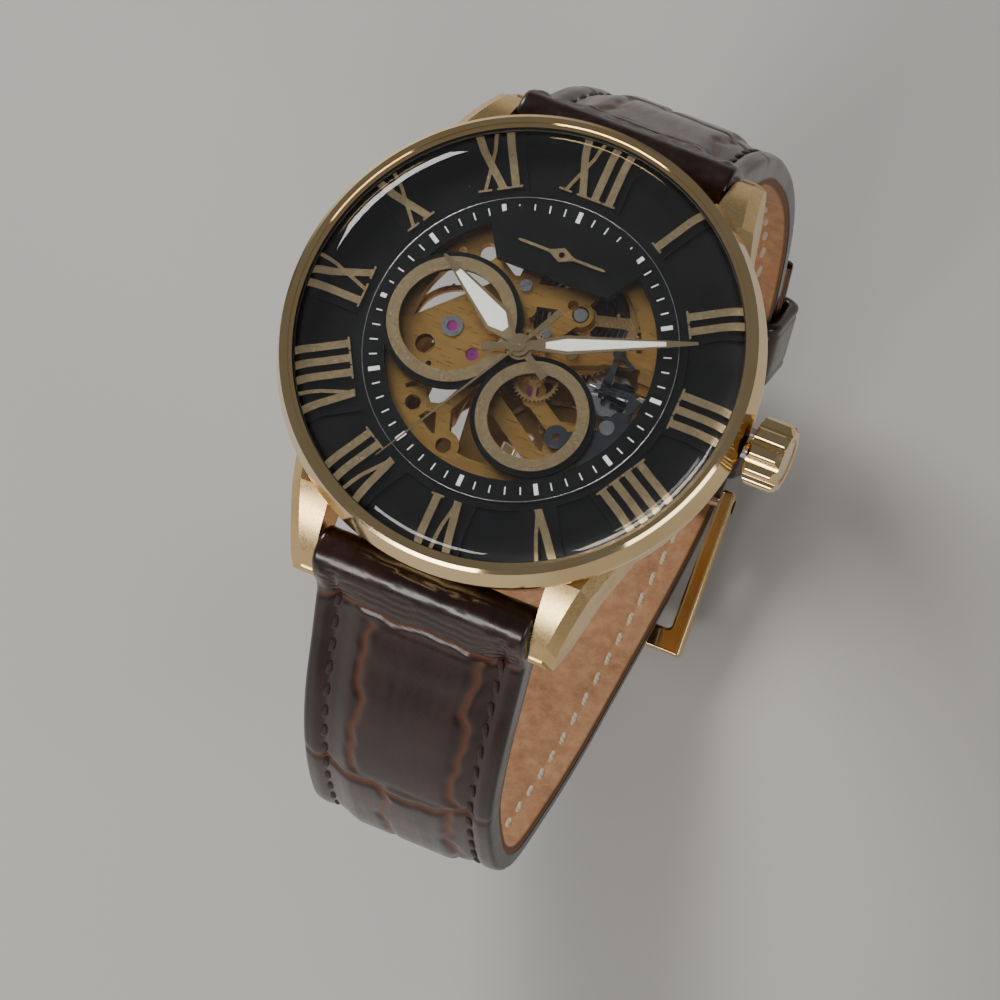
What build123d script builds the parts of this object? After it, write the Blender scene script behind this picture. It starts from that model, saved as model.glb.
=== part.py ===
"""A skeleton automatic wristwatch on a padded leather strap, closed by a tongue buckle.

Units are millimetres. The crystal faces +Z, twelve o'clock is +Y and the crown is on +X.
Heights in this file count from the minute track of the dial. save() lifts every piece by
BACK_DEPTH, so that the outer face of the case back, which rests on the wrist, is z = 0.
"""

import os
from math import atan2, cos, degrees, hypot, pi, radians, sin, sqrt

from build123d import *

os.makedirs("parts", exist_ok=True)

# Case
BACK_DEPTH = 9.2
BEZEL_RADIUS = 23.0
BEZEL_TOP = 2.8
CASE_RADIUS = 22.6
CRYSTAL_RADIUS = 21.05
CRYSTAL_TOP = 3.5
CRYSTAL_EDGE = 2.2
CRYSTAL_THICKNESS = 1.3
LUG_GAP = 22.2
LUG_TIP_Y = 25.6
LUG_OUTER_ROOT = (17.3, 12.0)
LUG_OUTER_TIP = (13.15, 26.4)
LUG_OUTWARD = (0.9609, 0.2769)
LUG_BEVEL = 1.0
LUG_BEVEL_DROP = 1.3
BAR_Y = 23.3
BAR_Z = -5.4
SCOOP_RADIUS = 2.45

# Dial
DIAL_RADIUS = 20.9
DIAL_OPENING = 12.8
TRACK_OUTER = 14.9
RIB_OUTER = 15.7
DIAL_LOW = -0.8
PANEL_TOP = -0.42
PAD_TOP = -0.2
NUMERAL_TOP = 0.12
NUMERAL_INNER = 15.75
NUMERAL_OUTER = 20.75
LETTER_WIDTHS = {"I": 1.42, "V": 2.6, "X": 2.7}
THICK_STROKE = 0.75
THIN_STROKE = 0.36
STROKE_SPREAD = 0.9
SERIF = 0.2
WINDOWS = (((-7.1, 0.2), 6.15, 5.0), ((3.75, -5.65), 5.35, 4.2))
WINDOW_BASE_MARGIN = 0.5
WINDOW_BASE_LOW = -0.7
WINDOW_TOP = 0.32
HUB_HOLE = 0.95

# Movement
MOVEMENT_RADIUS = 13.0
PLATE_TOP = -1.45
PLATE_LOW = -2.6
BRIDGE_TOP = -5.05
BRIDGE_LOW = -5.95
STEM_Z = -2.6
CENTRE = (0.0, 0.0)
BARREL_AT = (3.6, 5.53)
THIRD_AT = (2.46, -3.03)
ESCAPE_AT = (-2.506, -3.053)
PALLET_AT = (-4.35, -1.854)
BALANCE_AT = (-7.2, 0.0)
MINUTE_WHEEL_AT = (2.35, -1.865)
CROWN_WHEEL_AT = (8.6, 0.0)
SETTING_LEVER_PIVOT = (11.9, -2.9)
YOKE_PIVOT = (8.6, 3.3)
JEWEL_RADIUS = 0.62

# Tooth counts of the going train, the motion works and the winding works
BARREL_TEETH, CENTRE_LEAVES = 60, 10
CENTRE_TEETH, THIRD_LEAVES = 60, 8
THIRD_TEETH, FOURTH_LEAVES = 64, 8
FOURTH_TEETH, ESCAPE_LEAVES = 60, 6
CANNON_LEAVES, MINUTE_TEETH = 12, 36
MINUTE_LEAVES, HOUR_TEETH = 10, 40
CROWN_WHEEL_TEETH, RATCHET_TEETH = 30, 44
ESCAPE_POINTS = 15

# Hands: angles clockwise from twelve, at rest
HOUR_ANGLE, MINUTE_ANGLE, SECOND_ANGLE = 299.2, 67.7, 208.5
HOUR_LEVEL, MINUTE_LEVEL, SECOND_LEVEL = 0.45, 0.80, 1.08
HAND_THICKNESS = 0.2
SECOND_THICKNESS = 0.12

# Strap: middle lines as (y, z), from the lug round to the end of each half
STRAP_HALF_LUG = 10.95
STRAP_HALF_END = 10.0
LINING = 0.8
GLUE = 0.08
SHORT_LINE = (
    (23.3, -5.4), (25.6, -10.2), (29.6, -17.0), (32.8, -25.0), (34.5, -33.0),
    (34.8, -40.0), (33.6, -46.5), (30.6, -52.5), (26.4, -57.6), (21.0, -62.0),
    (15.0, -65.4), (9.2, -67.2),
)
LONG_LINE = (
    (-23.3, -5.4), (-25.0, -9.8), (-28.3, -14.6), (-33.2, -21.4), (-36.6, -28.6),
    (-38.3, -36.5), (-38.6, -42.5), (-37.0, -47.6), (-32.0, -52.3), (-24.0, -57.8),
    (-14.5, -62.3), (-4.5, -66.6), (4.5, -69.5), (10.6, -70.1), (16.9, -68.4),
    (22.7, -64.8), (28.1, -60.4), (32.9, -54.9),
)
SHORT_THICKNESS = (4.6, 3.6, 2.8)
LONG_THICKNESS = (4.6, 3.4, 2.2)
BUCKLE_BAR = (9.2, -67.2)
TONGUE_SLOT_AT = (1.9, 6.6)


def lift(shape):
    return Pos(0, 0, BACK_DEPTH) * shape


def save(name, *pieces):
    """Writes one node. Pieces that belong to one node stay separate solids."""
    solids = [solid for piece in pieces for solid in piece.solids()]
    shape = solids[0] if len(solids) == 1 else Compound(children=solids)
    export_step(lift(shape), f"parts/{name}.step")


def slab(outline, low, high):
    return Pos(0, 0, low) * extrude(outline, high - low)


def disc(radius, low, high, at=CENTRE):
    return Pos(at[0], at[1], low) * extrude(Circle(radius), high - low)


def ring(outer, inner, low, high, at=CENTRE):
    return Pos(at[0], at[1], low) * extrude(Circle(outer) - Circle(inner), high - low)


def turned(*profile):
    """A solid turned about Z from (radius, height) corners."""
    return revolve(Plane.XZ * make_face(Polyline(*profile, close=True)), Axis.Z)


def turned_x(*profile, y=0.0, z=STEM_Z):
    """A solid turned about a line along X from (x, radius) corners."""
    return Pos(0, y, z) * revolve(Plane.XZ * make_face(Polyline(*profile, close=True)), Axis.X)


def rod_x(radius, start, end, y=0.0, z=STEM_Z):
    return Pos(start, y, z) * Rot(0, 90, 0) * extrude(Circle(radius), end - start)


def polar(radius, angle):
    """A point at a clockwise angle from twelve o'clock."""
    return (radius * sin(radians(angle)), radius * cos(radians(angle)))


def link(start, end, width):
    """A round-ended bar outline between two points."""
    dx, dy = end[0] - start[0], end[1] - start[1]
    middle = ((start[0] + end[0]) / 2, (start[1] + end[1]) / 2)
    turn = degrees(atan2(dy, dx))
    return Pos(*middle) * Rot(0, 0, turn) * SlotCenterToCenter(hypot(dx, dy), width)


def shape_of(*points):
    return make_face(Polyline(*points, close=True))


def softened(outline, radius):
    """The outline with every corner rounded."""
    return fillet(outline.vertices(), radius)


def circles(spots, radius):
    outline = Pos(*spots[0]) * Circle(radius)
    for spot in spots[1:]:
        outline += Pos(*spot) * Circle(radius)
    return outline


# ---------------------------------------------------------------- gears

def gear_outline(teeth, module, phase, leaf=False):
    """Straight-sided teeth with backlash. phase is the angle of one tooth, in degrees."""
    pitch = module * teeth / 2
    addendum, dedendum = (0.65, 1.05) if leaf else (0.8, 1.0)
    at_root, at_tip = (0.2, 0.1) if leaf else (0.23, 0.11)
    step = 2 * pi / teeth
    points = []
    for tooth in range(teeth):
        middle = radians(phase) + tooth * step
        for radius, share in (
            (pitch - dedendum * module, -at_root),
            (pitch + addendum * module, -at_tip),
            (pitch + addendum * module, at_tip),
            (pitch - dedendum * module, at_root),
        ):
            angle = middle + share * step
            points.append((radius * cos(angle), radius * sin(angle)))
    return shape_of(*points)


def bearing(start, end):
    return degrees(atan2(end[1] - start[1], end[0] - start[0]))


def meshing_phase(teeth, phase, start, other_teeth, end):
    """Phase of the other gear so that a tooth of one faces a gap of the other."""
    direction = bearing(start, end)
    past_tooth = ((direction - phase) * teeth / 360) % 1
    return direction + 180 - (0.5 - past_tooth) * 360 / other_teeth


def module_for(start, end, teeth, other_teeth):
    return 2 * hypot(end[0] - start[0], end[1] - start[1]) / (teeth + other_teeth)


def spoked(outline, rim, hub, spokes, width):
    """Cuts the windows between a wheel's spokes."""
    gap = Circle(rim) - Circle(hub)
    for spoke in range(spokes):
        gap -= Rot(0, 0, 360 * spoke / spokes + 15) * Pos(rim / 2, 0) * Rectangle(rim, width)
    return outline - gap


def wheel(at, outline, low, high):
    return Pos(at[0], at[1], low) * extrude(outline, high - low)


# ---------------------------------------------------------------- case

def lug_plan(inset):
    """A lug seen from above, its outer side moved inwards by the inset."""
    inner = LUG_GAP / 2
    root, tip = LUG_OUTER_ROOT, LUG_OUTER_TIP
    across_x, across_y = inset * LUG_OUTWARD[0], inset * LUG_OUTWARD[1]
    return shape_of(
        (inner, root[1]), (root[0] - across_x, root[1] - across_y),
        (tip[0] - across_x, tip[1] - across_y), (inner, tip[1]),
    )


def lug(side_x, side_y):
    """One lug: a curved top facet, an outer bevel and a short end facet."""
    top = (
        Polyline((13.0, -0.9), (18.9, -0.9)),
        ThreePointArc((18.9, -0.9), (21.8, -2.75), (24.3, -5.3)),
        Line((24.3, -5.3), (25.1, -7.4)),
        ThreePointArc((25.1, -7.4), (LUG_TIP_Y, -8.3), (24.6, -9.0)),
    )
    under = Polyline((24.6, -9.0), (22.8, -9.0), (18.0, -6.6), (13.0, -6.6), (13.0, -0.9))
    outside = Polyline((24.6, -9.0), (24.6, -12.0), (29.0, -12.0), (29.0, 3.0), (13.0, 3.0),
                       (13.0, -0.9))
    body = Pos(LUG_GAP / 2, 0, 0) * extrude(Plane.YZ * make_face([*top, under]), 8.0)
    body &= slab(lug_plan(0), -12, 2)
    out_x, out_y = LUG_OUTWARD
    seam = Plane(
        origin=(LUG_OUTER_ROOT[0] - LUG_BEVEL * out_x, LUG_OUTER_ROOT[1] - LUG_BEVEL * out_y, 0),
        x_dir=(-out_y, out_x, 0), z_dir=(out_x, out_y, 0),
    )
    space = Pos(LUG_GAP / 2 - 4, 0, 0) * extrude(Plane.YZ * make_face([*top, outside]), 16.0)
    downhill = (LUG_BEVEL * out_x, LUG_BEVEL * out_y, -LUG_BEVEL_DROP)
    reach = 1.5 * hypot(LUG_BEVEL, LUG_BEVEL_DROP)
    body -= extrude(section(space, seam).faces()[0], reach, dir=downhill)
    if side_x < 0:
        body = mirror(body, Plane.YZ)
    if side_y < 0:
        body = mirror(body, Plane.XZ)
    return body


def build_case():
    middle = turned(
        (21.0, -0.62), (22.5, -0.62), (CASE_RADIUS, -0.75), (CASE_RADIUS, -1.7),
        (22.2, -1.9), (21.5, -6.6), (20.5, -7.6), (18.2, -7.6), (18.2, -6.4),
        (16.0, -6.4), (16.0, -0.85), (21.0, -0.85),
    )
    for y in (BAR_Y, -BAR_Y):
        middle -= rod_x(SCOOP_RADIUS, -LUG_GAP / 2 - 0.5, LUG_GAP / 2 + 0.5, y, BAR_Z)
    for side_x in (1, -1):
        for side_y in (1, -1):
            middle += lug(side_x, side_y) - disc(19.0, -12, 2)
    for y in (BAR_Y, -BAR_Y):
        middle -= rod_x(0.45, 10.0, 12.4, y, BAR_Z)
        middle -= rod_x(0.45, -12.4, -10.0, y, BAR_Z)
    middle -= rod_x(1.5, 14.0, 24.0)
    save("case_middle", middle)

    bezel = turned(
        (20.7, 0.85), (21.2, 0.85), (21.2, 2.35), (21.55, 2.45), (21.6, 2.72),
        (22.1, BEZEL_TOP), (22.4, 2.55), (BEZEL_RADIUS, 0.2), (BEZEL_RADIUS, -0.3),
        (22.85, -0.6), (21.05, -0.6), (21.05, 0.5), (20.7, 0.5),
    )
    save("bezel", bezel)
    save("crystal_gasket", ring(21.18, 21.07, 0.87, 2.05))

    tube = turned_x((16.2, 0.72), (23.2, 0.72), (23.2, 1.2), (22.1, 1.2), (22.1, 1.5),
                    (16.2, 1.5))
    save("crown_tube", tube)

    back = turned(
        (15.2, -6.5), (18.1, -6.5), (18.1, -7.65), (20.3, -7.65), (20.3, -8.4),
        (19.2, -BACK_DEPTH), (14.4, -BACK_DEPTH), (14.0, -8.9), (14.0, -8.65), (15.2, -8.65),
    )
    back -= ring(19.3, 18.7, -7.95, -7.6)
    notch_count = 6
    for notch in range(notch_count):
        spot = polar(17.2, 360 * notch / notch_count + 30)
        back -= Pos(*spot, -9.3) * Rot(0, 0, -360 * notch / notch_count - 30) * Box(
            3.0, 1.5, 0.9, align=(Align.CENTER, Align.CENTER, Align.MIN))
    save("case_back", back)
    save("back_gasket", ring(19.25, 18.75, -7.92, -7.62))
    save("back_crystal", disc(15.1, -8.62, -7.75))


def dome_arc(edge_radius, edge_z, crown_z):
    """Half of a spherical dome, from its top on the axis out to its edge."""
    rise = crown_z - edge_z
    ball = (edge_radius ** 2 + rise ** 2) / (2 * rise)
    middle = edge_radius / 2
    middle_z = crown_z - ball + sqrt(ball ** 2 - middle ** 2)
    return ThreePointArc((0, crown_z), (middle, middle_z), (edge_radius, edge_z))


def build_crystal():
    """A box-domed crystal: a shallow dome with a rounder shoulder at its edge."""
    shoulder, foot_radius, foot = 18.6, 19.9, 0.9
    shoulder_z = CRYSTAL_TOP - 0.62
    edge_z = CRYSTAL_EDGE - 0.5
    under = CRYSTAL_TOP - CRYSTAL_THICKNESS
    profile = make_face([
        dome_arc(shoulder, shoulder_z, CRYSTAL_TOP),
        ThreePointArc((shoulder, shoulder_z), (20.3, CRYSTAL_EDGE + 0.22), (CRYSTAL_RADIUS, edge_z)),
        Polyline((CRYSTAL_RADIUS, edge_z), (CRYSTAL_RADIUS, foot), (foot_radius, foot)),
        dome_arc(foot_radius, foot, under),
        Line((0, under), (0, CRYSTAL_TOP)),
    ])
    save("crystal", revolve(Plane.XZ * profile, Axis.Z))


# ---------------------------------------------------------------- dial

def numeral_strokes(text):
    """Upright strokes of a Roman numeral as (foot offset, head offset) pairs across its width."""
    strokes, cursor = [], 0.0
    for letter in text:
        middle = cursor + LETTER_WIDTHS[letter] / 2
        left, right = middle - STROKE_SPREAD, middle + STROKE_SPREAD
        if letter == "I":
            strokes.append((middle, middle, THICK_STROKE))
        elif letter == "V":
            strokes.append((middle, left, THICK_STROKE))
            strokes.append((middle, right, THIN_STROKE))
        else:
            strokes.append((right, left, THICK_STROKE))
            strokes.append((left, right, THIN_STROKE))
        cursor += LETTER_WIDTHS[letter]
    return [(foot - cursor / 2, head - cursor / 2, width) for foot, head, width in strokes], cursor


def numeral(text, hour):
    """A raised numeral that stands along a radius, its foot towards the centre."""
    strokes, width = numeral_strokes(text)
    foot, head = NUMERAL_INNER, NUMERAL_OUTER
    outline = None
    for foot_x, head_x, thickness in strokes:
        bar = shape_of(
            (foot_x - thickness / 2, foot), (foot_x + thickness / 2, foot),
            (head_x + thickness / 2, head), (head_x - thickness / 2, head),
        )
        outline = bar if outline is None else outline + bar
    for x, y in serif_spots(text, width):
        outline += Pos(x, y) * Rectangle(1.3, SERIF)
    turn = -30 * hour
    return Rot(0, 0, turn) * slab(outline, PAD_TOP, NUMERAL_TOP)


def serif_spots(text, width):
    """Serifs lie at both ends of I and X and at the open end of V."""
    cursor = -width / 2
    for letter in text:
        middle = cursor + LETTER_WIDTHS[letter] / 2
        for side in ((0.0,) if letter == "I" else (-STROKE_SPREAD, STROKE_SPREAD)):
            yield middle + side, NUMERAL_OUTER - SERIF / 2
            if letter != "V":
                yield middle + side, NUMERAL_INNER + SERIF / 2
        cursor += LETTER_WIDTHS[letter]


NUMERALS = ("XII", "I", "II", "III", "IIII", "V", "VI", "VII", "VIII", "IX", "X", "XI")


def build_dial():
    dial = ring(DIAL_RADIUS, DIAL_OPENING, DIAL_LOW, PANEL_TOP)
    dial += ring(RIB_OUTER, DIAL_OPENING, PANEL_TOP, PAD_TOP + 0.05)
    dial += ring(TRACK_OUTER, DIAL_OPENING, PANEL_TOP, 0.0)
    for hour, text in enumerate(NUMERALS):
        width = numeral_strokes(text)[1] + 0.9
        pad = shape_of((-width / 2, 15.0), (width / 2, 15.0), (width / 2, 20.3), (-width / 2, 20.3))
        dial += Rot(0, 0, -30 * hour) * slab(pad, PANEL_TOP, PAD_TOP)
    for at, outer, inner in WINDOWS:
        dial += disc(outer + WINDOW_BASE_MARGIN, WINDOW_BASE_LOW, 0.08, at)
    plaque = shape_of((-7.9, 10.9), (-5.75, 7.45), (5.6, 7.45), (7.8, 10.9), (5.5, 12.9), (-5.5, 12.9))
    dial += slab(plaque, DIAL_LOW, 0.14)
    for at, outer, inner in WINDOWS:
        dial -= disc(inner + 0.1, -2, 2, at)
    dial -= disc(HUB_HOLE, -2, 2)
    save("dial", dial)

    save("window_rings", *[
        ring(outer, inner, 0.08, WINDOW_TOP, at) - disc(HUB_HOLE - 0.02, -2, 2)
        for at, outer, inner in WINDOWS
    ])
    save("hour_numerals", *[numeral(text, hour) for hour, text in enumerate(NUMERALS)])

    diamond = softened(shape_of((-1.5, 0.0), (0.0, 0.75), (1.5, 0.0), (0.0, -0.75)), 0.12)
    diamond -= Pos(0, 0) * Circle(0.28)
    wing = softened(shape_of((0, 0.14), (2.9, 0.14), (3.3, 0.0), (2.9, -0.14), (0, -0.14)), 0.04)
    emblem = diamond + Pos(1.25, 0) * wing + Rot(0, 0, 180) * Pos(1.25, 0) * wing - Circle(0.28)
    save("dial_emblem", Pos(0, 9.75, 0) * slab(emblem, 0.14, 0.34))


# ---------------------------------------------------------------- movement plates

def build_plates():
    build_main_plate()
    build_bridges()
    build_jewels()
    build_screws()


PILLARS = {
    "barrel_bridge": ((11.3, 4.3), (-2.0, 11.8)),
    "train_bridge": ((10.6, -5.6), (1.6, -11.9), (6.9, -9.8)),
    "balance_cock": ((-9.6, -7.4),),
    "pallet_bridge": ((-4.6, -7.7),),
}


def build_main_plate():
    """The skeletonised dial-side plate: an outer ring joined by struts and bosses."""
    outline = Circle(MOVEMENT_RADIUS) - Circle(11.3)
    for start, end, width in (
        ((-11.9, -3.6), (-3.2, 5.2), 3.4),
        ((-10.6, -5.2), (-3.0, 1.6), 4.6),
        ((-9.0, -4.2), (-1.0, -0.4), 3.0),
        ((-8.6, 8.4), (-1.6, 4.2), 2.3),
        ((-10.0, 6.6), (-4.6, 9.9), 2.4),
        ((-3.2, 5.2), (2.4, 6.6), 2.2),
        ((-1.9, 11.9), (-2.4, 5.0), 2.0),
        ((0.0, 0.0), (-2.6, 4.6), 2.0),
        ((0.0, 0.0), (3.0, 4.8), 1.7),
        ((3.0, 5.6), (4.6, 11.4), 1.6),
        ((0.0, 0.0), (6.6, 2.5), 2.2),
        ((6.6, 2.5), (11.8, 3.6), 1.6),
        ((0.0, 0.0), (2.7, -3.6), 2.0),
        ((2.7, -3.6), (5.9, -5.6), 1.5),
        ((5.9, -5.6), (6.9, -9.8), 1.7),
        ((5.9, -5.6), (10.9, -5.4), 1.6),
        ((-0.6, -5.3), (6.3, -9.7), 1.7),
        ((-2.4, -2.9), (-0.6, -5.3), 1.6),
        ((-3.0, -0.8), (-2.4, -2.9), 2.4),
        ((-4.6, -7.7), (-2.4, -2.9), 1.1),
        ((-4.6, -7.7), (-3.1, -11.9), 1.4),
        ((-8.4, -8.6), (-4.6, -7.7), 0.9),
        ((-7.4, -9.6), (-7.3, -5.0), 1.2),
    ):
        outline += link(start, end, width)
    outline += circles((BARREL_AT, THIRD_AT, ESCAPE_AT, CENTRE), 1.25)
    outline += circles(((-7.0, 8.0), (2.6, 6.1), (-7.6, -8.2), (-3.2, -11.0)), 1.5)
    outline += Pos(*BALANCE_AT) * Circle(2.1)
    outline += Pos(*PALLET_AT) * Circle(1.2)
    outline &= Circle(MOVEMENT_RADIUS)
    plate = slab(outline, PLATE_LOW, PLATE_TOP)
    holes = (
        ((-8.9, -2.5), 0.95), ((-7.8, -4.2), 0.28), ((-5.0, 2.2), 0.55), ((-7.0, 8.0), 0.9),
        ((2.6, 6.1), 0.5), ((1.3, 2.6), 0.32), ((4.4, 1.7), 0.38), ((-2.3, 6.2), 0.35),
        ((-7.6, -8.2), 0.75), ((-3.2, -11.0), 0.75), ((-9.3, 7.2), 0.4),
        (SETTING_LEVER_PIVOT, 0.3), (YOKE_PIVOT, 0.27),
    )
    for at, radius in holes:
        plate -= disc(radius, -5, 0, at)
    plate -= disc(0.42, -5, 0)
    for at in (THIRD_AT, ESCAPE_AT, PALLET_AT):
        plate -= disc(JEWEL_RADIUS, -5, 0, at)
    plate -= disc(1.05, -5, 0, BALANCE_AT)
    plate -= disc(0.82, -5, 0, BARREL_AT)
    plate -= disc(0.3, -5, 0, MINUTE_WHEEL_AT)
    plate -= Pos(10.4, 0, -2.1) * Box(6.8, 2.9, 1.8)
    plate -= rod_x(0.7, 6.6, 13.5)
    plate += ring(MOVEMENT_RADIUS, 11.4, PLATE_LOW, PLATE_TOP) & slab(
        Pos(12.4, 0) * Rectangle(2.2, 3.2), PLATE_LOW, -2.2) - rod_x(0.7, 6.6, 13.5)
    save("main_plate", plate)

    holder = ring(15.9, 13.05, -6.0, -1.3) - rod_x(1.55, 12.0, 17.0)
    save("movement_ring", holder)

    spring_plate = link((10.9, -4.6), (11.3, -2.9), 1.9) + link((10.9, -4.6), (6.8, -6.6), 1.5)
    spring_plate += link((11.3, -2.9), (12.1, -0.6), 0.5) + link((10.9, -4.6), (9.6, -7.6), 1.6)
    spring_plate += Pos(6.4, -6.4) * Circle(1.15)
    spring_plate -= Pos(10.5, -3.9) * Circle(0.42)
    spring_plate -= Pos(6.4, -6.4) * Circle(0.34)
    spring_plate &= Circle(12.7)
    save("setting_lever_spring", slab(spring_plate, -1.04, -0.86))


def build_bridges():
    barrel = softened(shape_of(
        (-4.0, 14.0), (-4.0, 7.0), (-1.2, 1.9), (5.2, 1.9), (6.2, -1.8), (14.0, -1.8), (14.0, 14.0),
    ), 0.5) & Circle(12.7)
    barrel -= Pos(*CROWN_WHEEL_AT) * Circle(0.85)
    barrel -= Pos(*BARREL_AT) * Circle(0.95)
    for start, end, width in (((0.6, 4.0), (1.2, 9.8), 1.6), ((6.8, 7.4), (8.4, 5.2), 1.7)):
        barrel -= link(start, end, width)
    train = softened(shape_of(
        (-1.5, 1.4), (4.7, 1.4), (5.7, -2.3), (14.0, -2.3), (14.0, -14.0), (-2.2, -14.0),
        (-3.4, -5.0), (-3.4, -1.8),
    ), 0.4) & Circle(12.7)
    for start, end, width in (((6.0, -4.6), (8.6, -4.2), 1.7), ((0.0, -8.2), (4.6, -9.6), 1.8)):
        train -= link(start, end, width)
    train -= Pos(3.0, -7.0) * Circle(0.9)
    for at in (THIRD_AT, ESCAPE_AT):
        train -= Pos(*at) * Circle(JEWEL_RADIUS)
    train -= Circle(1.3)
    cock = link(BALANCE_AT, PILLARS["balance_cock"][0], 2.7) + Pos(*BALANCE_AT) * Circle(1.9)
    cock = (cock & Circle(12.9)) - Pos(*BALANCE_AT) * Circle(1.05)
    pallet = link(PALLET_AT, PILLARS["pallet_bridge"][0], 1.3)
    pallet -= Pos(*PALLET_AT) * Circle(JEWEL_RADIUS - 0.2)
    for name, outline, low, high in (
        ("barrel_bridge", barrel, BRIDGE_LOW, BRIDGE_TOP),
        ("train_bridge", train, BRIDGE_LOW, BRIDGE_TOP),
        ("balance_cock", cock, -5.6, -4.7),
        ("pallet_bridge", pallet, -5.6, BRIDGE_TOP),
    ):
        bridge = slab(outline, low, high)
        for at in PILLARS[name]:
            bridge += disc(0.75, high - 0.1, PLATE_LOW, at)
            bridge -= disc(0.32, low - 1, low + 0.9, at)
        save(name, bridge)


def jewel(at, low, high, radius=JEWEL_RADIUS, hole=0.13):
    return ring(radius - 0.01, hole, low, high, at)


def build_jewels():
    stones = [jewel(at, PLATE_LOW + 0.2, PLATE_TOP - 0.1) for at in (THIRD_AT, ESCAPE_AT, PALLET_AT)]
    stones += [jewel(at, BRIDGE_LOW + 0.1, BRIDGE_TOP - 0.1) for at in (THIRD_AT, ESCAPE_AT)]
    stones.append(jewel(PALLET_AT, -5.55, -5.1, JEWEL_RADIUS - 0.2))
    stones += [disc(0.5, low, low + 0.3, BALANCE_AT) for low in (PLATE_TOP - 0.3, -5.55)]
    save("jewels", *stones)
    setting_front = ring(1.04, 0.52, PLATE_TOP - 0.5, PLATE_TOP + 0.12, BALANCE_AT)
    setting_back = ring(1.04, 0.52, -5.68, -5.2, BALANCE_AT)
    save("shock_settings", setting_front, setting_back)


def screw(at, under_head, down, head=0.6, length=0.7):
    """A slotted cheese-head screw. down is -1 for screws whose heads face the case back."""
    top = under_head + 0.28 * down
    low, high = sorted((under_head, top))
    end_low, end_high = sorted((under_head, under_head - length * down))
    body = disc(head, low, high, at) + disc(0.29, end_low, end_high, at)
    slot_z = top - 0.07 * down
    return body - Pos(at[0], at[1], slot_z) * Rot(0, 0, 40) * Box(2 * head + 0.1, 0.16, 0.16)


def build_screws():
    heads = [
        screw(at, BRIDGE_LOW if "cock" not in name and "pallet" not in name else -5.6, -1)
        for name, spots in PILLARS.items() for at in spots
    ]
    heads.append(screw((10.5, -3.9), -0.86, 1, 0.72, 0.5))
    heads.append(screw((4.4, 1.7), PLATE_TOP, 1, 0.62, 0.5))
    heads.append(screw((1.3, 2.6), PLATE_TOP, 1, 0.55, 0.5))
    heads.append(screw((-2.3, 6.2), PLATE_TOP, 1, 0.6, 0.5))
    save("movement_screws", *heads)


# ---------------------------------------------------------------- going train

def spiral(inner, outer, turns, thickness):
    """A flat spiral ribbon outline."""
    steps = int(turns * 12)
    def edge(offset):
        return [
            ((inner + (outer - inner) * n / steps + offset) * cos(2 * pi * turns * n / steps),
             (inner + (outer - inner) * n / steps + offset) * sin(2 * pi * turns * n / steps))
            for n in range(steps + 1)
        ]
    near, far = edge(-thickness / 2), edge(thickness / 2)
    return make_face([Spline(*near), Line(near[-1], far[-1]), Spline(*far), Line(far[0], near[0])])


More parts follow.
